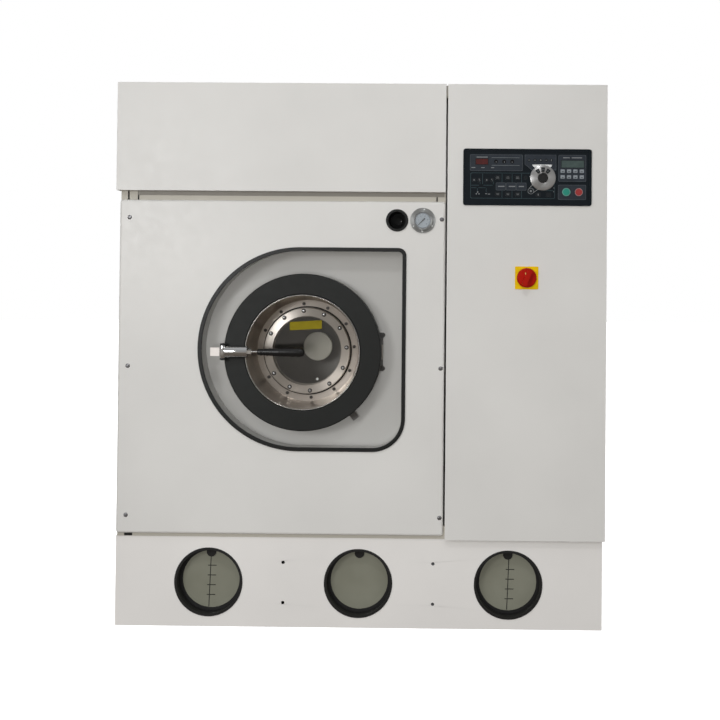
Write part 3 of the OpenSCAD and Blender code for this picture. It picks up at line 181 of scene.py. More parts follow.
def steel(name, color, rough=0.3, axis="Y", centre=None, lines=900.0, depth=0.25, var=0.12,
          aniso=0.7, cone=0.0):
    """Ground or turned metal. With a centre the lines are circles round a front-to-back axis, and
    cone tilts the face as a shallow cone of that slope; otherwise they run along the axis."""
    m = mat(name, color, rough, 1.0)
    v = coords(m)
    if centre:
        sub = nd(m, "VectorMath", operation="SUBTRACT")
        sub.inputs[1].default_value = (centre[0], 0, centre[1])
        ln(m, v, sub.inputs[0])
        flat = nd(m, "VectorMath", operation="MULTIPLY")
        flat.inputs[1].default_value = (1, 0, 1)
        ln(m, sub.outputs["Vector"], flat.inputs[0])
        length = nd(m, "VectorMath", operation="LENGTH")
        ln(m, flat.outputs["Vector"], length.inputs[0])
        sep = nd(m, "SeparateXYZ")
        ln(m, sub.outputs["Vector"], sep.inputs[0])
        comb = nd(m, "CombineXYZ")
        ln(m, length.outputs["Value"], comb.inputs[0])
        ln(m, sep.outputs["Y"], comb.inputs[1])
        vec = comb.outputs[0]
        k = (1, 1, 1)
        unit = nd(m, "VectorMath", operation="NORMALIZE")
        ln(m, flat.outputs["Vector"], unit.inputs[0])
        ln(m, unit.outputs["Vector"], bsdf(m).inputs["Tangent"])
        bsdf(m).inputs["Anisotropic"].default_value = aniso
    else:
        vec = v
        k = tuple(0.02 if a == axis else 1.0 for a in "XYZ")
    mp = nd(m, "Mapping")
    mp.inputs["Scale"].default_value = k
    ln(m, vec, mp.inputs["Vector"])
    fine = noise(m, mp.outputs["Vector"], lines, 3.0, 0.7)
    ln(m, ramp(m, fine, rough - var * 0.5, rough + var), bsdf(m).inputs["Roughness"])
    tint(m, noise(m, v, 12.0, 3.0), scale_c(color, 0.93), scale_c(color, 1.04))
    fine_bump = bump(m, fine, depth, 0.0002)
    if cone:
        fall = nd(m, "Math", operation="MULTIPLY")
        fall.inputs[1].default_value = -cone
        ln(m, length.outputs["Value"], fall.inputs[0])
        tilt = nd(m, "Bump")
        tilt.inputs["Strength"].default_value = 1.0
        tilt.inputs["Distance"].default_value = 1.0
        ln(m, fall.outputs["Value"], tilt.inputs["Height"])
        ln(m, tilt.outputs["Normal"], fine_bump.inputs["Normal"])
    return m


def split_x(m, x, color, rough, metal):
    """Another finish on the part of a node to the left of a plane across the machine."""
    b = bsdf(m)
    side = nd(m, "SeparateXYZ")
    ln(m, coords(m), side.inputs[0])
    test = nd(m, "Math", operation="LESS_THAN")
    test.inputs[1].default_value = x
    ln(m, side.outputs["X"], test.inputs[0])
    mix = nd(m, "Mix", data_type="RGBA")
    ln(m, test.outputs["Value"], mix.inputs["Factor"])
    ln(m, b.inputs["Base Color"].links[0].from_socket, mix.inputs["A"])
    mix.inputs["B"].default_value = (*color, 1)
    ln(m, mix.outputs["Result"], b.inputs["Base Color"])
    for socket, other in (("Roughness", rough), ("Metallic", metal)):
        inp = b.inputs[socket]
        mf = nd(m, "Mix", data_type="FLOAT")
        ln(m, test.outputs["Value"], mf.inputs["Factor"])
        if inp.links:
            ln(m, inp.links[0].from_socket, mf.inputs["A"])
        else:
            mf.inputs["A"].default_value = inp.default_value
        mf.inputs["B"].default_value = other
        ln(m, mf.outputs["Result"], inp)
    return m


def plastic(name, color, rough=0.4, grain=0.2, grain_scale=1600, coat=0.0):
    m = mat(name, color, rough, Coat_Weight=coat, Coat_Roughness=0.1)
    v = coords(m)
    tint(m, noise(m, v, 40.0, 3.0), scale_c(color, 0.9), scale_c(color, 1.08))
    ln(m, ramp(m, noise(m, v, 120.0, 4.0), rough - 0.05, rough + 0.07), bsdf(m).inputs["Roughness"])
    bump(m, noise(m, v, grain_scale, 2.0), grain, 0.0001)
    return m


def film(name, color, rough=0.4):
    """Printed matt film."""
    return specular(plastic(name, color, rough, 0.2, 2500), 0.2)


def casting(name, color, rough=0.55):
    m = mat(name, color, rough)
    v = coords(m)
    tint(m, noise(m, v, 18.0, 5.0), scale_c(color, 0.75), scale_c(color, 1.2))
    ln(m, ramp(m, noise(m, v, 60.0, 4.0), rough - 0.08, rough + 0.12), bsdf(m).inputs["Roughness"])
    bump(m, noise(m, v, 420.0, 4.0), 0.5, 0.0006)
    return m


def glass(name, color, rough, alpha):
    """Clear glass as a thin dark or pale veil, so that what lies behind shows without refraction."""
    m = mat(name, color, rough, IOR=1.5)
    bsdf(m).inputs["Alpha"].default_value = alpha
    v = coords(m)
    ln(m, ramp(m, noise(m, v, 25.0, 3.0), rough, rough + 0.05), bsdf(m).inputs["Roughness"])
    bump(m, noise(m, v, 8.0, 1.0), 0.04, 0.001)
    return m


def window(name, colors, rough, coat, coat_rough, cloud, ripple, strength, dist):
    """Opaque pane under a clear coat; colors are its mean, darkest and lightest colour."""
    m = mat(name, colors[0], rough, Coat_Weight=coat, Coat_Roughness=coat_rough)
    v = coords(m)
    tint(m, noise(m, v, cloud, 2.0), colors[1], colors[2])
    bump(m, noise(m, v, ripple, 2.0), strength, dist)
    return m


# ---- materials of the CAD nodes ----
BLACK_GRIP = (0.010, 0.010, 0.010)
CHROME = (0.82, 0.82, 0.82)
GRIP_START_X = -0.3405      # left of it the lever is bare steel
NOSE_HIGHLIGHT_END_X = -0.4660        # left of it the latch nose is pale and dull, a painted highlight for the chrome's bright reflection
ROUND_KEYS_X = 0.6          # left of it the keys are black

body_m = paint("body_paint", (0.765, 0.758, 0.735), 0.38)
base_m = paint("base_paint", (0.865, 0.848, 0.825), 0.38)
pan_m = paint("pan_paint", (0.52, 0.515, 0.495), 0.5)
beige_m = paint("frame_paint", (0.50, 0.475, 0.415), 0.5)
# dark beige paint for the strip under the hood, a painted shadow of the hood
header_shadow_m = paint("header_painted_shadow", (0.26, 0.245, 0.215), 0.5)
dark_frame_m = paint("base_frame_paint", (0.06, 0.06, 0.065), 0.5)
duct_m = paint("duct_paint", (0.30, 0.35, 0.40), 0.45)
grey_m = paint("grey_paint", (0.42, 0.42, 0.41), 0.5)
black_m = paint("black_paint", (0.022, 0.023, 0.023), 0.42, var=0.1)
ring_m = specular(paint("ring_paint", (0.0150, 0.0163, 0.0156), 0.5, 0.12, 0.35, 700), 0.35)
blue_m = casting("motor_blue", (0.05, 0.13, 0.25), 0.5)
iron_m = casting("cast_iron", (0.11, 0.12, 0.13), 0.55)
rubber_m = plastic("rubber", (0.012, 0.012, 0.012), 0.55, 0.4, 900)
trim_m = plastic("trim_rubber", (0.008, 0.009, 0.009), 0.38, 0.3, 900)
seal_m = plastic("seal_rubber", (0.03, 0.03, 0.03), 0.6, 0.4, 700)
steel_m = steel("sheet_steel", (0.62, 0.61, 0.59), 0.32, "Z")
dish_m = steel("dish_steel", (0.60, 0.55, 0.50), 0.30, centre=DOOR, depth=0.08, var=0.06, aniso=0.6)
clamp_m = steel("clamp_steel", (0.70, 0.655, 0.60), 0.33, centre=DOOR, depth=0.2, aniso=0.85, cone=0.07)
hub_m = steel("hub_steel", (0.95, 0.92, 0.78), 0.5, centre=DOOR, depth=0.12, aniso=0.2)
bsdf(hub_m).inputs["Metallic"].default_value = 0.05
bead_m = steel("bead_steel", (0.85, 0.84, 0.82), 0.25, "Y", depth=0.05)
drum_m = steel("drum_steel", (0.36, 0.35, 0.33), 0.42, centre=DOOR, depth=0.2)
galv_m = steel("galvanised", (0.55, 0.56, 0.57), 0.45, "X", lines=120)
# chrome latch whose nose is pale, dull paint as a painted highlight of its bright reflection
nose_m = split_x(steel("latch_chrome", CHROME, 0.09, "X", lines=500, depth=0.03, var=0.03),
                 NOSE_HIGHLIGHT_END_X, (0.93, 0.88, 0.84), 0.4, 0.1)
screw_m = steel("screw_steel", (0.55, 0.55, 0.56), 0.25, "Y", depth=0.1)
dull_screw_m = steel("dull_screw", (0.34, 0.34, 0.355), 0.38, "Y", depth=0.1)
zinc_m = steel("zinc", (0.24, 0.24, 0.24), 0.42, "X", depth=0.2)
dark_bolt_m = steel("dark_bolt", (0.10, 0.095, 0.09), 0.38, "Y", depth=0.15)
brass_m = steel("brass", (0.62, 0.44, 0.20), 0.3, "Y")
hub_black_m = plastic("grip_plastic", BLACK_GRIP, 0.22, 0.05, 900, coat=0.4)
lever_m = split_x(plastic("lever_plastic", BLACK_GRIP, 0.22, 0.05, 900),
                  GRIP_START_X, (0.80, 0.79, 0.77), 0.12, 1.0)
panel_film_m = specular(plastic("panel_film", (0.006, 0.010, 0.014), 0.34, 0.25, 2500), 0.2)
key_m = specular(split_x(plastic("key_plastic", (0.27, 0.30, 0.33), 0.45),
                         ROUND_KEYS_X, (0.003, 0.003, 0.004), 0.4, 0.0), 0.2)
green_m = plastic("green_cap", (0.010, 0.26, 0.19), 0.35, 0.1, coat=0.3)
red_cap_m = plastic("red_cap", (0.33, 0.025, 0.025), 0.35, 0.1, coat=0.3)
red_m = specular(plastic("knob_red", (0.44, 0.010, 0.004), 0.36, 0.15), 0.12)
yellow_m = specular(plastic("plate_yellow", (0.86, 0.56, 0.004), 0.42, 0.15), 0.1)
gauge_m = steel("gauge_steel", (0.46, 0.47, 0.47), 0.33, centre=GAUGE, lines=1500, depth=0.15)
cup_m = specular(plastic("cup_plastic", (0.016, 0.017, 0.017), 0.5, 0.3, 900), 0.3)
sight_m = window("sight_glass", ((0.150, 0.153, 0.112), (0.225, 0.227, 0.178), (0.265, 0.268, 0.215)),
                 0.12, 0.3, 0.03, 9.0, 30.0, 0.05, 0.001)
door_glass_m = specular(glass("door_glass", (0.020, 0.019, 0.017), 0.03, 0.18), 1.0)
bsdf(door_glass_m).inputs["IOR"].default_value = 2.3
gauge_glass_m = glass("gauge_glass", (0.85, 0.90, 0.95), 0.02, 0.10)

NODE_MAT = {
    "base_frame": dark_frame_m, "base_cover": base_m, "tank_block": steel_m, "machine_frame": beige_m,
    "front_panel": body_m, "panel_trim": trim_m, "recess_pan": pan_m, "hood_cover": body_m,
    "column_cover": body_m, "left_cover": body_m, "rear_cover": body_m, "panel_screws": dull_screw_m,
    "sight_rings": rubber_m, "sight_glasses": sight_m, "control_panel": panel_film_m, "keypad": key_m,
    "start_button": green_m, "stop_button": red_cap_m, "gauge_case": gauge_m, "gauge_needle": black_m,
    "gauge_glass": gauge_glass_m, "regulator_cup": cup_m, "regulator_knob": cup_m,
    "isolator_plate": yellow_m, "isolator_knob": red_m, "door_ring": ring_m, "door_dish": dish_m,
    "clamp_ring": clamp_m, "door_glass": door_glass_m, "door_bolts": dark_bolt_m,
    "clamp_screws": screw_m, "door_seal": seal_m, "hinge_bracket": zinc_m,
    "striker_tab": zinc_m, "latch_bracket": black_m, "latch_barrel": nose_m, "latch_grip": lever_m,
    "tub": duct_m, "tub_collar": duct_m, "drum": drum_m, "drum_shaft": hub_m, "bearing_housing": iron_m,
    "shaft_bearings": screw_m, "drum_pulley": iron_m, "drive_belt": rubber_m, "drive_motor": blue_m,
    "motor_pulley": iron_m, "fan_housing": duct_m, "fan_wheel": galv_m, "fan_motor": blue_m,
    "heat_exchanger": galv_m, "button_trap": steel_m, "trap_lid": steel_m, "still": steel_m,
    "condenser": steel_m, "filter_vessel": steel_m, "solvent_pump": blue_m, "compressor": black_m,
    "electrical_box": grey_m, "service_stubs": brass_m,
}
for name, m in NODE_MAT.items():
    o = N[name]
    if not o.data.materials:
        o.data.materials.append(m)
    for i in range(len(o.material_slots)):
        o.material_slots[i].material = m


# ---- mesh helpers; outlines are lists of (x, z) points in the front plane ----
def obj(name, verts, faces, material, body, smooth=False):
    me = bpy.data.meshes.new(name)
    me.from_pydata([tuple(v) for v in verts], [], faces)
    me.materials.append(material)
    o = bpy.data.objects.new(name, me)
    bpy.context.scene.collection.objects.link(o)
    if smooth:
        for p in me.polygons:
            p.use_smooth = True
    if body:
        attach(o, body)
    return o


def lathe(name, profile, centre, material, body, seg=96, smooth=True):
    """profile: (radius, y) points turned round the front-to-back axis through centre (x, z)."""
    vs, fs = [], []
    n = len(profile)
    for i in range(seg):
        a = 2 * PI * i / seg
        for r, y in profile:
            vs.append((centre[0] + r * math.cos(a), y, centre[1] + r * math.sin(a)))
    for i in range(seg):
        j = (i + 1) % seg
        for k in range(n - 1):
            fs.append((i * n + k, i * n + k + 1, j * n + k + 1, j * n + k))
    o = obj(name, vs, fs, material, None, smooth)
    bm = bmesh.new()
    bm.from_mesh(o.data)
    bmesh.ops.remove_doubles(bm, verts=bm.verts, dist=1e-7)
    bmesh.ops.recalc_face_normals(bm, faces=bm.faces)
    bm.to_mesh(o.data)
    bm.free()
    if smooth:
        mod = o.modifiers.new("edges", "EDGE_SPLIT")
        mod.split_angle = math.radians(35)
    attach(o, body)
    return o


def upright(name, cu, place, material, body):
    """Turns a flat curve or a text into a mesh in the front plane, moved to place."""
    tmp = bpy.data.objects.new(name + "_c", cu)
    me = bpy.data.meshes.new_from_object(tmp)
    bpy.data.objects.remove(tmp)
    me.transform(Matrix.Translation(place) @ Matrix.Rotation(PI / 2, 4, "X"))
    me.materials.clear()
    me.materials.append(material)
    me.name = name
    o = bpy.data.objects.new(name, me)
    bpy.context.scene.collection.objects.link(o)
    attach(o, body)
    return o


def plate(name, loops, y0, y1, material, body, bevel=0.0, seg=2):
    """Flat plate from y0 to y1. Loops that lie inside another are holes in it."""
    cu = bpy.data.curves.new(name, "CURVE")
    cu.dimensions = "2D"
    cu.fill_mode = "BOTH"
    for pts in loops:
        sp = cu.splines.new("POLY")
        sp.points.add(len(pts) - 1)
        for p, (x, z) in zip(sp.points, pts):
            p.co = (x, z, 0, 1)
        sp.use_cyclic_u = True
    cu.extrude = max((y1 - y0) / 2 - bevel, 0.0)
    cu.bevel_depth = bevel
    cu.bevel_resolution = seg
    cu.offset = -bevel
    return upright(name, cu, (0, (y0 + y1) / 2, 0), material, body)


def text(name, s, x, z, y, size, material):
    cu = bpy.data.curves.new(name, "FONT")
    cu.body = s
    cu.size = size
    cu.align_x = "CENTER"
    cu.align_y = "CENTER"
    cu.extrude = 0.00006
    cu.offset = 0.00008
    return upright(name, cu, (x, y, z), material, ROOT)


def polar(centre, r, degrees):
    a = math.radians(degrees)
    return (centre[0] + r * math.cos(a), centre[1] + r * math.sin(a))


def circle(cx, cz, r, n=48, a0=0.0, a1=360.0):
    full = abs(a1 - a0 - 360) < 1e-6
    return [polar((cx, cz), r, a0 + (a1 - a0) * i / n) for i in range(n if full else n + 1)]


def rect(x0, x1, z0, z1):
    return [(x0, z0), (x1, z0), (x1, z1), (x0, z1)]


def rrect(cx, cz, w, h, r, n=6):
    pts = []
    for sx, sz, a in ((1, -1, -90), (1, 1, 0), (-1, 1, 90), (-1, -1, 180)):
        pts += circle(cx + sx * (w / 2 - r), cz + sz * (h / 2 - r), r, n, a, a + 90)
    return pts


def rect_outline(x0, x1, z0, z1, rc):
    def f(g):
        return rrect((x0 + x1) / 2, (z0 + z1) / 2, x1 - x0 + 2 * g, z1 - z0 + 2 * g, max(rc + g, 0.0004), 5)
    return f


def d_outline(g, n=64):
    """The D opening's outline, grown by g metres."""
    cx, cz, R = -0.203, 0.935, 0.342 + g
    x1 = 0.154 + g
    rt, rb = 0.027 + g, 0.111 + g
    pts = circle(cx, cz, R, n, 90, 270)
    pts += circle(x1 - rb, cz - R + rb, rb, 16, -90, 0)
    pts += circle(x1 - rt, cz + R - rt, rt, 12, 0, 90)
    return pts


def join(name, objs):
    """Joins pieces of one body and material set into one object."""
    bm = bmesh.new()
    mats = []
    body = body_of(objs[0])
    for o in objs:
        dg = bpy.context.evaluated_depsgraph_get()
        me = bpy.data.meshes.new_from_object(o.evaluated_get(dg))
        me.transform(o.matrix_world)
        idx = []
        for m in o.data.materials:
            if m not in mats:
                mats.append(m)
            idx.append(mats.index(m))
        for p in me.polygons:
            p.material_index = idx[p.material_index] if p.material_index < len(idx) else 0
        bm.from_mesh(me)
        bpy.data.meshes.remove(me)
    me = bpy.data.meshes.new(name)
    bm.to_mesh(me)
    bm.free()
    for m in mats:
        me.materials.append(m)
    o2 = bpy.data.objects.new(name, me)
    bpy.context.scene.collection.objects.link(o2)
    for o in objs:
        bpy.data.objects.remove(o)
    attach(o2, body if isinstance(body, str) else list(body)[0])
    return o2


# ---- camera, fitted to the photograph ----
CAM_AT = (0.3657, -3.8317, 1.1540)
yaw, pitch, roll = (math.radians(v) for v in (0.528, 0.970, 0.470))
fwd = Vector((-math.sin(yaw) * math.cos(pitch), math.cos(yaw) * math.cos(pitch), math.sin(pitch)))
level_right = Vector((math.cos(yaw), math.sin(yaw), 0))
level_up = level_right.cross(fwd)
right = level_right * math.cos(roll) + level_up * math.sin(roll)
up = -level_right * math.sin(roll) + level_up * math.cos(roll)
cam_d = bpy.data.cameras.new("cam")
cam = bpy.data.objects.new("cam", cam_d)
bpy.context.scene.collection.objects.link(cam)
cam.matrix_world = Matrix([(right[i], up[i], -fwd[i], CAM_AT[i]) for i in range(3)] + [(0, 0, 0, 1)])
cam_d.sensor_width = 36
cam_d.lens = 48.46
cam_d.shift_x = -0.1395
cam_d.shift_y = -0.1268
cam_d.clip_end = 100
bpy.context.scene.camera = cam
bpy.context.scene.view_settings.view_transform = "Standard"

# ---- world: brightest overhead, pale near the horizon, darker and warmer low down, as a hall is ----
SKY = [(0.0, (0.22, 0.185, 0.155)), (0.38, (0.30, 0.26, 0.22)), (0.455, (0.66, 0.61, 0.55)),
       (0.50, (0.68, 0.66, 0.63)), (0.60, (0.50, 0.50, 0.49)), (1.0, (0.85, 0.86, 0.87))]
world = bpy.data.worlds.new("studio")
bpy.context.scene.world = world
world.use_nodes = True
direction = nd(world, "SeparateXYZ")
ln(world, nd(world, "TexCoord").outputs["Generated"], direction.inputs[0])
sky = nd(world, "ValToRGB")
ln(world, ramp(world, direction.outputs["Z"], 0.0, 1.0, -1, 1), sky.inputs["Fac"])
el = sky.color_ramp.elements
while len(el) < len(SKY):
    el.new(0.5)
for e, (q, c) in zip(el, SKY):
    e.position = q
    e.color = (*c, 1)
background = world.node_tree.nodes["Background"]
ln(world, sky.outputs["Color"], background.inputs[0])
background.inputs[1].default_value = 0.50

# ---- lights: name, place, aim, size, power in watts, whether smooth surfaces mirror it ----
LIGHTS = [
    ("key", (-2.1, -4.6, 1.75), (-0.1, -0.55, 0.9), (1.1, 1.1), 38, True),
    ("front", (-0.2, -6.0, 3.0), (0, -0.55, 0.9), (4.0, 2.0), 26, False),
    ("level", (0.1, -5.2, 0.7), (0, -0.55, 0.8), (1.0, 1.0), 56, False),
    ("left_rear", (-4.2, 2.6, 3.0), (-0.2, 0.2, 0.9), (2.0, 2.0), 110, False),
    ("right_rear", (4.2, 2.6, 3.0), (0.2, 0.2, 0.9), (2.0, 2.0), 110, False),
    ("top", (0.2, -3.0, 3.2), (0, -0.55, 0.9), (0.35, 0.35), 12, True),
]
for name, place, aim, size, watts, mirrored in LIGHTS:
    lamp = bpy.data.lights.new(name, "AREA")
    lamp.shape = "RECTANGLE"
    lamp.size, lamp.size_y = size
    lamp.energy = watts
    o = bpy.data.objects.new(name, lamp)
    bpy.context.scene.collection.objects.link(o)
    o.location = place
    o.rotation_euler = (Vector(aim) - Vector(place)).to_track_quat("-Z", "Y").to_euler()
    o.visible_glossy = mirrored

# ---- pale floor and backdrop; they are seen by the camera but light nothing ----
FLOOR_HALF, FLOOR_Z, BACKDROP_R = 30, -0.0005, 28
floor_m = paint("floor_paint", (0.90, 0.90, 0.90), 0.7, var=0.005, peel=0.1, peel_scale=200)
bsdf(floor_m).inputs["Emission Color"].default_value = (1, 1, 1, 1)
bsdf(floor_m).inputs["Emission Strength"].default_value = 1.0
fl = obj("floor", [(x, y, FLOOR_Z) for x, y in rect(-FLOOR_HALF, FLOOR_HALF, -FLOOR_HALF, FLOOR_HALF)],
         [(0, 1, 2, 3)], floor_m, None)
fl.visible_glossy = False
fl.visible_diffuse = False
backdrop_m = bpy.data.materials.new("backdrop")
backdrop_m.use_nodes = True
em = nd(backdrop_m, "Emission")
em.inputs["Color"].default_value = (1, 1, 1, 1)
em.inputs["Strength"].default_value = 1.0
ln(backdrop_m, em.outputs[0], backdrop_m.node_tree.nodes["Material Output"].inputs["Surface"])
me = bpy.data.meshes.new("backdrop")
bm = bmesh.new()
bmesh.ops.create_uvsphere(bm, u_segments=48, v_segments=24, radius=BACKDROP_R)
bm.to_mesh(me)
bm.free()
me.materials.append(backdrop_m)
back = bpy.data.objects.new("backdrop", me)
bpy.context.scene.collection.objects.link(back)
for flag in ("diffuse", "glossy", "transmission", "shadow", "volume_scatter"):
    setattr(back, "visible_" + flag, False)

# ---- softened edges on CAD nodes: width of the bevel in metres ----
SOFT_EDGES = {
    "base_cover": 0.0008, "hood_cover": 0.0010, "column_cover": 0.0010, "left_cover": 0.0006,
    "rear_cover": 0.0006, "isolator_plate": 0.0008, "control_panel": 0.0005, "keypad": 0.0004,
    "panel_trim": 0.0010, "hinge_bracket": 0.0010, "striker_tab": 0.0008, "latch_bracket": 0.0010,
    "latch_barrel": 0.0016, "isolator_knob": 0.0016, "stop_button": 0.0007,
}
for node, width in SOFT_EDGES.items():
    w = N[node].modifiers.new("weld", "WELD")
    w.merge_threshold = 0.00002
    b = N[node].modifiers.new("soft_edge", "BEVEL")
    b.width = width
    b.segments = 3
    b.limit_method = "ANGLE"
    b.angle_limit = math.radians(40)
    b.use_clamp_overlap = True
    b.harden_normals = False


# ---- main front panel with rounded front edges ----
def tray(name, outline, holes, y_face, r, depth, material, body, node, seg=6):
    """A panel whose outer edge is bent back. outline(g) gives the outline grown by g, r is the bend's
    radius; the tray stands in the place of the CAD node."""
    sheet = 0.0015
    face = plate(name + "_face", [outline(-r)] + holes, y_face, y_face + sheet, material, body)
    rings = [(outline(-r + r * math.sin(a)), y_face + r - r * math.cos(a))
             for a in [PI / 2 * i / seg for i in range(seg + 1)]]
    rings.append((outline(0), y_face + depth))
    rings.append((outline(-sheet), y_face + depth))
    rings.append((outline(-sheet), y_face + r + 0.001))
    vs, fs = [], []
    n = len(rings[0][0])
    for pts, y in rings:
        vs += [(x, y, z) for x, z in pts]
    for k in range(len(rings) - 1):
        for i in range(n):
            j = (i + 1) % n
            fs.append((k * n + i, k * n + j, (k + 1) * n + j, (k + 1) * n + i))
    skirt = obj(name + "_skirt", vs, fs, material, body, True)
    o = join(name, [face, skirt])
    w = o.modifiers.new("weld", "WELD")
    w.merge_threshold = 0.00003
    e = o.modifiers.new("edges", "EDGE_SPLIT")
    e.split_angle = math.radians(32)
    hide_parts(node)
    return o


CORNER_R, BEND_R, EDGE_DEPTH = 0.009, 0.008, 0.012
front_holes = [d_outline(-0.006), circle(*GAUGE, 0.0315), circle(*CUP, 0.0325)]
tray("front_sheet", rect_outline(PX0, PX1, PZ0, PZ1, CORNER_R), front_holes, PANEL_Y, BEND_R, EDGE_DEPTH,
     body_m, ROOT, "front_panel")

# ---- control panel ----
# Places on it are given in steps of about a third of a millimetre, counted to the right and down from
# a point above its upper left corner.
CP_X0, CP_STEP_X = 0.29734, 0.00034265
CP_Z0, CP_STEP_Z = 1.65594, 0.00033867


def cpx(v):
    return CP_X0 + CP_STEP_X * v


def cpz(v):
    return CP_Z0 - CP_STEP_Z * v


def cbox(x0, x1, y0, y1, r=0.0):
    """A box in panel steps, with corners of r metres."""
    a, b, c, d = cpx(x0), cpx(x1), cpz(y1), cpz(y0)
    if r:
        return rrect((a + b) / 2, (c + d) / 2, b - a, d - c, r, 4)
    return rect(a, b, c, d)


def bar(x, y, hx, hy, r=0.0):
    """A box round (x, y), with half sides hx and hy."""
    return cbox(x - hx, x + hx, y - hy, y + hy, r)


def cdot(x, y, r, n=12):
    return circle(cpx(x), cpz(y), r, n)


def grown(pts, g):
    cx = sum(p[0] for p in pts) / len(pts)
    cz = sum(p[1] for p in pts) / len(pts)
    w = max(p[0] for p in pts) - min(p[0] for p in pts)
    h = max(p[1] for p in pts) - min(p[1] for p in pts)
    return [(cx + (x - cx) * (1 + 2 * g / w), cz + (z - cz) * (1 + 2 * g / h)) for x, z in pts]


def on_panel(name, loops, layer, material, bevel=0.0):
    plate(name, loops, *layer, material, ROOT, bevel)


# front and back of each printed layer
FIELD = (CP_Y - 0.0003, CP_Y + 0.0001)
BORDER = (CP_Y - 0.0005, CP_Y - 0.0003)
PRINT = (CP_Y - 0.0008, CP_Y - 0.0003)
FAINT = (CP_Y - 0.0006, CP_Y + 0.0001)
PANE = (CP_Y - 0.0006, CP_Y - 0.0002)
BEZEL = (CP_Y - 0.0010, CP_Y - 0.0002)
POINTER = (CP_Y - 0.0008, CP_Y + 0.0001)

slate_m = film("film_slate", (0.030, 0.037, 0.047), 0.38)
border_m = film("film_border", (0.100, 0.115, 0.130))
line_m = film("film_line", (0.050, 0.082, 0.092))
faint_m = film("film_faint", (0.016, 0.019, 0.022), 0.32)
mark_m = film("film_mark", (0.22, 0.235, 0.245), 0.45)
white_m = film("film_white", (0.74, 0.76, 0.76), 0.45)
led_m = window("led_window", ((0.075, 0.008, 0.008), (0.062, 0.007, 0.007), (0.090, 0.010, 0.010)),
               0.16, 0.5, 0.05, 60.0, 300.0, 0.1, 0.0001)
lcd_m = window("lcd_window", ((0.052, 0.082, 0.078), (0.045, 0.072, 0.069), (0.062, 0.094, 0.088)),
               0.2, 0.4, 0.06, 60.0, 300.0, 0.1, 0.0001)

# fields with pale borders: display, timer, buttons, three program chips, the selector's backing
BORDER_W = 0.0009
fields = [cbox(198, 712, 187, 348, 0.0035), cbox(1062, 1332, 187, 450, 0.0035),
          cbox(1060, 1332, 483, 630, 0.0035), cbox(452, 548, 465, 541, 0.0030),
          cbox(552, 648, 465, 541, 0.0030), cbox(652, 750, 465, 541, 0.0030)]
backing = ((733, 190), (737, 187), (1036, 187), (1040, 190), (1040, 338), (800, 338), (733, 280))
fields.append([(cpx(x), cpz(y)) for x, y in backing])
on_panel("cp_fields", fields, FIELD, slate_m)
on_panel("cp_field_borders", [p for f in fields for p in (f, grown(f, -BORDER_W))], BORDER, border_m)

# the printed flow diagram: a frame and strokes, each from (x0, y0) to (x1, y1)
LINE_HALF = 2.0
STROKES = [(512, 376, 512, 462), (512, 546, 512, 614), (610, 376, 610, 462), (610, 546, 610, 614),
           (703, 376, 703, 462), (703, 546, 703, 614), (322, 376, 322, 480), (428, 440, 428, 480),
           (330, 492, 420, 492), (298, 440, 298, 480), (212, 492, 288, 492), (212, 517, 262, 517),
           (272, 522, 272, 556), (282, 517, 350, 517), (358, 522, 358, 556), (940, 540, 1010, 540)]


def stroke(x0, y0, x1, y1):
    """An upright or a level line with square ends."""
    hx, hy = (LINE_HALF, 0) if x0 == x1 else (0, LINE_HALF)
    return cbox(x0 - hx, x1 + hx, y0 - hy, y1 + hy)


diagram = cbox(203, 1028, 368, 622, 0.005)
on_panel("cp_diagram_frame", [diagram, grown(diagram, -0.0012)], FIELD, line_m)
on_panel("cp_diagram_lines", [stroke(*s) for s in STROKES], FIELD, line_m)

# faint flat keys: square and round ones in the diagram, small lamps over the selector
SQUARE_KEYS = [(470, 415), (570, 415), (665, 415), (470, 578), (570, 578), (665, 578),
               (968, 582), (866, 582)]
ROUND_KEYS = [(238, 440), (290, 440), (362, 440), (415, 440), (742, 415)]
faint = [bar(x, y, 26, 22, 0.002) for x, y in SQUARE_KEYS]
faint += [cdot(x, y, 0.0072, 20) for x, y in ROUND_KEYS]
faint += [cdot(x, 240, 0.0056, 20) for x in (776, 832, 888, 943, 992)]
on_panel("cp_faint_keys", faint, FAINT, faint_m)

# short printed bars stand where the photograph has words
WORDS = [(262, 370, 209, 218), (212, 250, 314, 321), (307, 341, 314, 321), (403, 433, 314, 321),
         (1108, 1172, 210, 219), (1192, 1292, 210, 219), (474, 536, 497, 507), (578, 640, 497, 507),
         (676, 726, 497, 507), (766, 784, 238, 242), (824, 840, 238, 242), (935, 951, 238, 242),
         (990, 995, 230, 250), (348, 366, 572, 580), (374, 396, 576, 583)]
marks = [cbox(*w) for w in WORDS]
marks += [cdot(888, 240, 0.0024, 14), cdot(238, 440, 0.0020), cdot(362, 440, 0.0020),
          cdot(905, 515, 0.0013)]
for x in (290, 412):
    marks += [cbox(x - 5, x + 4, 430, 436), cbox(x + 2, x + 8, 444, 450)]
for x in (470, 570, 665):
    marks += [cbox(x - 16, x + 14, 418, 422), cbox(x - 14, x + 10, 407, 410),
              cbox(x - 14, x + 14, 574, 577), cbox(x - 10, x + 12, 583, 586)]
marks += [cdot(x, y, 0.0022) for x, y in ((275, 560), (262, 578), (288, 578))]
marks += [cbox(862, 869, 572, 592), cbox(1014, 1026, 512, 518), cbox(1014, 1020, 545, 556)]
on_panel("cp_print_marks", marks, PRINT, mark_m)
on_panel("cp_thin_rules", [cbox(408, 682, 216, 220), cbox(408, 682, 292, 296)], PRINT,
         film("film_rule", (0.16, 0.18, 0.19)))

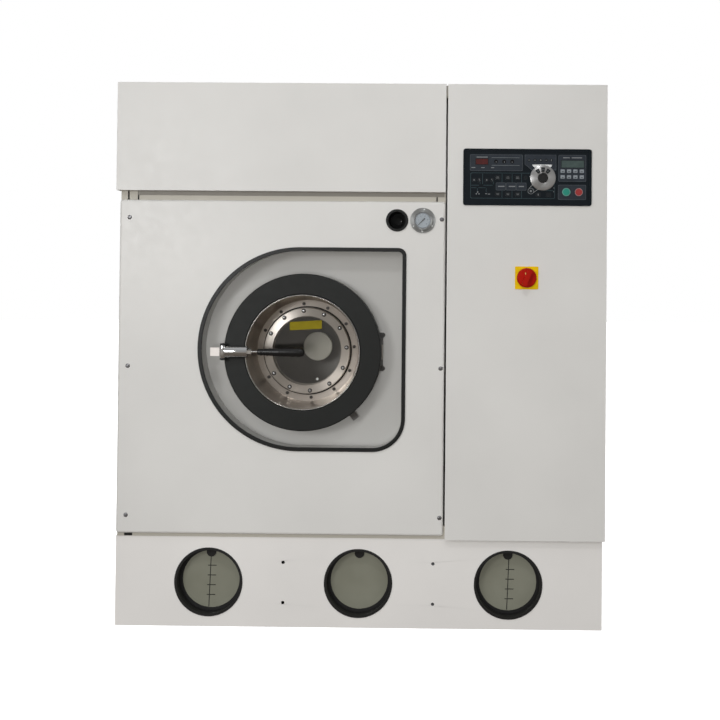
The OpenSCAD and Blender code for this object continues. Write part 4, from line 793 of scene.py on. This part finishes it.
# the two displays
on_panel("cp_led_bezel", [cbox(249, 379, 224, 291, 0.001), cbox(255, 373, 230, 285, 0.0006)],
         BEZEL, faint_m, 0.0002)
on_panel("cp_led", [cbox(252, 376, 227, 288, 0.0006)], PANE, led_m)
on_panel("cp_lcd_bezel", [cbox(1086, 1316, 236, 318, 0.001), cbox(1092, 1310, 242, 312, 0.0006)],
         BEZEL, faint_m, 0.0002)
on_panel("cp_lcd", [cbox(1088, 1314, 238, 316, 0.0006)], PANE, lcd_m)

# plain bars on the keys, pale rims on the two buttons
KEY_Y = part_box("keypad")[0][1]
key_layer = (KEY_Y - 0.0002, KEY_Y + 0.0001)
on_panel("cp_key_bars", [bar(x, y, 10, 3) for x in (1104, 1166, 1229, 1291) for y in (353, 411)],
         key_layer, faint_m)
round_key_marks = [(448, 460, 258, 264), (530, 536, 254, 269), (604, 616, 258, 264)]
on_panel("cp_round_key_marks", [cbox(*m) for m in round_key_marks], key_layer, mark_m)
for node, body, color in (("start_button", "start", (0.16, 0.30, 0.27)),
                          ("stop_button", "stop", (0.33, 0.21, 0.21))):
    lo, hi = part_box(node)
    at = ((lo[0] + hi[0]) / 2, (lo[2] + hi[2]) / 2)
    r = (hi[0] - lo[0]) / 2
    plate(node + "_rim", [circle(*at, r - 0.0008, 40), circle(*at, r - 0.0026, 40)],
          lo[1] - 0.0002, lo[1] + 0.0002, film(node + "_rim_print", color), body)

# selector: bevelled metal disc over a pale pointer field, black hub, three windows
pointer = ((806, 284), (1000, 284), (996, 300), (975, 318), (835, 318), (812, 300))
on_panel("cp_pointer_field", [[(cpx(x), cpz(y)) for x, y in pointer]], POINTER, white_m)
selector_m = steel("selector_metal", (0.60, 0.60, 0.60), 0.32, centre=SEL, lines=1400, depth=0.2)
DISC = [(0.0168, 0.0018), (0.0176, 0.0026), (0.0400, 0.0030), (0.0425, 0.0022), (0.0432, 0.0004),
        (0.0432, -0.0002)]
HUB = [(0.0001, 0.0030), (0.0100, 0.0030), (0.0110, 0.0040), (0.0150, 0.0042), (0.0172, 0.0036),
       (0.0176, 0.0022), (0.0176, 0.0)]
lathe("cp_selector_disc", [(r, CP_Y - h) for r, h in DISC], SEL, selector_m, ROOT)
lathe("cp_selector_hub", [(r, CP_Y - h) for r, h in HUB], SEL, hub_black_m, ROOT)


def wedge(a, d0, d1, s0, s1):
    """A wedge a degrees round the selector, from radius d0 and half width s0 to d1 and s1."""
    t = math.radians(90 - a)
    u, w = (math.cos(t), math.sin(t)), (-math.sin(t), math.cos(t))
    return [(SEL[0] + u[0] * d + w[0] * s, SEL[1] + u[1] * d + w[1] * s)
            for d, s in ((d0, -s0), (d0, s0), (d1, s1), (d1, -s1))]


SELECTOR_ANGLES = (-37, 0, 37)
on_panel("cp_selector_windows", [wedge(a, 0.0200, 0.0345, 0.0050, 0.0068) for a in SELECTOR_ANGLES],
         (CP_Y - 0.0036, CP_Y - 0.0028), faint_m)
on_panel("cp_selector_marks", [wedge(a, 0.0245, 0.0305, 0.0012, 0.0026) for a in SELECTOR_ANGLES],
         (CP_Y - 0.0039, CP_Y - 0.0036), film("film_dim", (0.10, 0.11, 0.11), 0.45))

# printed callout ring with two rules that lead to the selector
DOT = (cpx(794), cpz(547))
lathe("cp_detail_ring", [(0.0090, CP_Y + 0.0001), (0.0090, CP_Y - 0.0008), (0.0104, CP_Y - 0.0008),
                         (0.0104, CP_Y + 0.0001)], DOT, mark_m, ROOT, 40)
on_panel("cp_detail_face", [circle(*DOT, 0.0091, 32)], (CP_Y - 0.0005, CP_Y + 0.0001), faint_m)
on_panel("cp_detail_dot", [circle(*DOT, 0.0036, 20)], (CP_Y - 0.0009, CP_Y - 0.0004), mark_m)
rules = []
for (x0, y0), (x1, y1) in (((775, 522), (858, 428)), ((818, 562), (948, 470))):
    a, b = Vector((cpx(x0), 0, cpz(y0))), Vector((cpx(x1), 0, cpz(y1)))
    d = (b - a).normalized()
    s = Vector((-d.z, 0, d.x)) * 0.0005
    rules.append([(q.x, q.z) for q in (a - s, b - s, b + s, a + s)])
on_panel("cp_detail_rules", rules, (CP_Y - 0.0036, CP_Y - 0.0001),
         film("film_silver", (0.42, 0.43, 0.43), 0.35))

# ---- gauge: dial with a plain scale from 0 to 10 over 270 degrees ----
NEEDLE_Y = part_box("gauge_needle")[0][1]
DIAL_Y = NEEDLE_Y + 0.0022
SCALE_START, SCALE_SWEEP, DIVISIONS = 225, 270, 50
dial_m = plastic("dial_face", (0.34, 0.385, 0.42), 0.5, 0.1)
tick_m = plastic("dial_print", (0.02, 0.02, 0.025), 0.5, 0.1)
plate("gauge_dial", [circle(*GAUGE, 0.0255, 64), circle(*GAUGE, 0.0022, 20)],
      DIAL_Y, DIAL_Y + 0.0006, dial_m, ROOT)
plate("gauge_bezel_line", [circle(*GAUGE, 0.0256, 64), circle(*GAUGE, 0.0243, 64)],
      DIAL_Y - 0.0005, DIAL_Y + 0.0001, slate_m, ROOT)
ticks = []
for i in range(DIVISIONS + 1):
    a = math.radians(SCALE_START - SCALE_SWEEP * i / DIVISIONS)
    r0, hw = (0.0195, 0.00032) if i % 5 == 0 else (0.0212, 0.00014)
    r1 = 0.0232
    c, s = math.cos(a), math.sin(a)
    ticks.append([(GAUGE[0] + c * r + s * w, GAUGE[1] + s * r - c * w)
                  for r, w in ((r0, -hw), (r1, -hw), (r1, hw), (r0, hw))])
plate("gauge_ticks", ticks, DIAL_Y - 0.00012, DIAL_Y + 0.0001, tick_m, ROOT)
nums = []
for i, v in enumerate(("0", "2", "4", "6", "8", "10")):
    x, z = polar(GAUGE, 0.0158, SCALE_START - 54 * i)
    nums.append(text("gauge_num_%d" % i, v, x, z, DIAL_Y - 0.0001, 0.0050, tick_m))
join("gauge_numbers", nums)

# black face on the needle, from its tail to its tip
needle_m = specular(plastic("needle_black", (0.002, 0.002, 0.002), 0.6, 0.1), 0.1)
ux, uz = math.cos(math.radians(SCALE_START)), math.sin(math.radians(SCALE_START))
outline = [(-0.0100, -0.0019), (-0.0100, 0.0019), (0.0215, 0.0012), (0.0215, -0.0012)]
plate("needle_face", [[(GAUGE[0] + ux * d - uz * w, GAUGE[1] + uz * d + ux * w) for d, w in outline]],
      NEEDLE_Y - 0.0001, NEEDLE_Y + 0.0008, needle_m, "needle")
plate("needle_hub", [circle(*GAUGE, 0.0031, 24)], NEEDLE_Y - 0.0003, NEEDLE_Y + 0.0002, needle_m, "needle")
plate("needle_tail", [circle(GAUGE[0] - 0.0078 * ux, GAUGE[1] - 0.0078 * uz, 0.0027, 24)],
      NEEDLE_Y - 0.0002, NEEDLE_Y + 0.0002, needle_m, "needle")

# grey dot on the regulator's knob as a painted highlight, screws in the gauge's flange
KNOB_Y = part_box("regulator_knob")[0][1]
plate("regulator_highlight_dot", [circle(CUP[0] + 0.0095, CUP[1] + 0.0005, 0.0016, 20)],
      KNOB_Y - 0.0002, KNOB_Y + 0.0001, film("regulator_painted_highlight", (0.30, 0.30, 0.30)), "regulator")
SCREW_HEAD = [(0.0001, -0.5830), (0.0014, -0.5830), (0.0024, -0.5822), (0.0027, -0.5810), (0.0027, -0.5800)]
screws = []
for i, a in enumerate((82, 212, 330, 268)):
    screws.append(lathe("gauge_screw_%d" % i, SCREW_HEAD, polar(GAUGE, 0.0370, a), white_m, ROOT, 24))
join("gauge_flange_screws", screws)

# ---- isolator: small pale pointer on the grip's upper end ----
GRIP_LEAN = math.radians(22)
GRIP_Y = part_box("isolator_knob")[0][1]
gx, gz = math.sin(-GRIP_LEAN), math.cos(GRIP_LEAN)
outline = ((0.0115, -0.0016), (0.0115, 0.0016), (0.0185, 0.0009), (0.0185, -0.0009))
plate("isolator_pointer", [[(ISO[0] + gx * d + gz * s, ISO[1] + gz * d - gx * s) for d, s in outline]],
      GRIP_Y + 0.0001, GRIP_Y + 0.0006, plastic("pointer_cream", (0.75, 0.55, 0.16), 0.5), "isolator")

# ---- door: blank yellow tag on the glass, collars round the clamp screws, rim bead, black ring as painted shadow of the gap round the clamp ring ----
GLASS_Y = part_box("door_glass")[0][1]
CLAMP_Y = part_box("clamp_ring")[0][1]
GAP_SHADOW_Y = CLAMP_Y + 0.0160
tag_m = specular(plastic("tag_yellow", (0.27, 0.215, 0.006), 0.5, 0.15, 1200), 0.2)
plate("door_tag", [[(-0.2555, 1.0215), (-0.1440, 1.0285), (-0.1440, 0.9990), (-0.2550, 0.9925)]],
      GLASS_Y - 0.0007, GLASS_Y - 0.0001, tag_m, "door", 0.0001)
collars = []
for i in range(12):
    c = polar(DOOR, SCREW_CIRCLE_R, 5 + 30 * i)
    collars += [circle(*c, 0.0074, 20), circle(*c, 0.0040, 20)]
plate("clamp_screw_collars", collars, CLAMP_Y - 0.0006, CLAMP_Y + 0.0002, trim_m, "door")
bead = [(RIM_R - 0.0014 * math.cos(PI * i / 8), RIM_Y - 0.0016 * math.sin(PI * i / 8)) for i in range(9)]
lathe("dish_rim_bead", bead, DOOR, bead_m, "door", 128)
# black ring round the clamp ring: painted shadow of the gap between the clamp ring and the dish
gap_shadow_profile = [(0.1494, GAP_SHADOW_Y + 0.0025), (0.1494, GAP_SHADOW_Y - 0.0010), (0.1536, GAP_SHADOW_Y - 0.0010),
          (0.1536, GAP_SHADOW_Y + 0.0025)]
lathe("clamp_gap_painted_shadow", gap_shadow_profile, DOOR, plastic("gap_painted_shadow", (0.006, 0.006, 0.006), 0.6, 0.2), "door",
      128, smooth=False)

# white mark on the drum's rear wall, seen through the glass; its brightness is partly painted light
drum_mark_glow_m = film("drum_mark_painted_glow", (0.85, 0.85, 0.82))
# the emission is painted light: the mark glows though it is no lamp
bsdf(drum_mark_glow_m).inputs["Emission Color"].default_value = (1.0, 0.98, 0.92, 1.0)
bsdf(drum_mark_glow_m).inputs["Emission Strength"].default_value = 0.55
plate("drum_mark", [[(-0.204, 0.790), (-0.198, 0.796), (-0.204, 0.802), (-0.210, 0.796)]],
      DRUM_BACK_Y - 0.0008, DRUM_BACK_Y - 0.0001, drum_mark_glow_m, "drum_set")

# ---- level scales on the outer sight glasses: a leaning line with four ticks ----
SIGHT_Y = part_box("sight_glasses")[0][1]
SCALE_LEAN, SCALE_HALF = 0.036, 0.0014
scale_top, scale_low = SIGHT_Z + 0.078, SIGHT_Z - 0.0950
scale_m = plastic("scale_print", (0.018, 0.018, 0.016), 0.5, 0.1)
for k, top_x, drop in ((0, SIGHT_LEFT - 0.0015, 0.0125), (2, SIGHT_RIGHT + 0.0037, 0.0160)):
    def line_x(z):
        return top_x - (scale_top - z) * SCALE_LEAN

    loops = [[(line_x(z) + s, z) for z, s in ((scale_low, -SCALE_HALF), (scale_low, SCALE_HALF),
                                              (scale_top, SCALE_HALF), (scale_top, -SCALE_HALF))]]
    for dz in (0.057, 0.024, -0.009, -0.042):
        z = SIGHT_Z + dz - drop
        loops.append(rect(line_x(z) - 0.009, line_x(z) + 0.020, z - SCALE_HALF, z + SCALE_HALF))
    for i, l in enumerate(loops):
        plate("level_scale_%d_%d" % (k, i), [l], SIGHT_Y - 0.0004 - 0.00005 * (i > 0), SIGHT_Y + 0.0001,
              scale_m, ROOT)

# ---- header band: dark strips as painted shade in the pressed slits, a dark strip under the hood as painted shadow, a dark slot at the base's upper left as painted shade ----
BAND_TOP = 1.4685
# near-black plates stand for the shade inside the slits and the slot: painted shade
slit_shade_m = plastic("slit_painted_shade", (0.010, 0.010, 0.010), 0.6, 0.1)
SLITS = ((-0.7905, 0.0022), (-0.7570, 0.0026), (0.2550, 0.0026))
plate("header_slits", [rect(x - w / 2, x + w / 2, PZ1, BAND_TOP) for x, w in SLITS],
      RAIL_Y - 0.0006, RAIL_Y + 0.0001, slit_shade_m, ROOT)
# dark strip under the hood: painted shadow cast by the hood on the header band
plate("header_shadow_strip", [rect(-0.7570, 0.2800, 1.4500, 1.4690)], RAIL_Y - 0.0012, RAIL_Y + 0.0001,
      header_shadow_m, ROOT, 0.0003)
# black plate as painted shade in the slot between the panel and the base
plate("base_gap_slot", [rect(-0.7890, -0.7620, 0.3030, 0.3120)], RAIL_Y - 0.0006, RAIL_Y + 0.0001,
      slit_shade_m, ROOT)
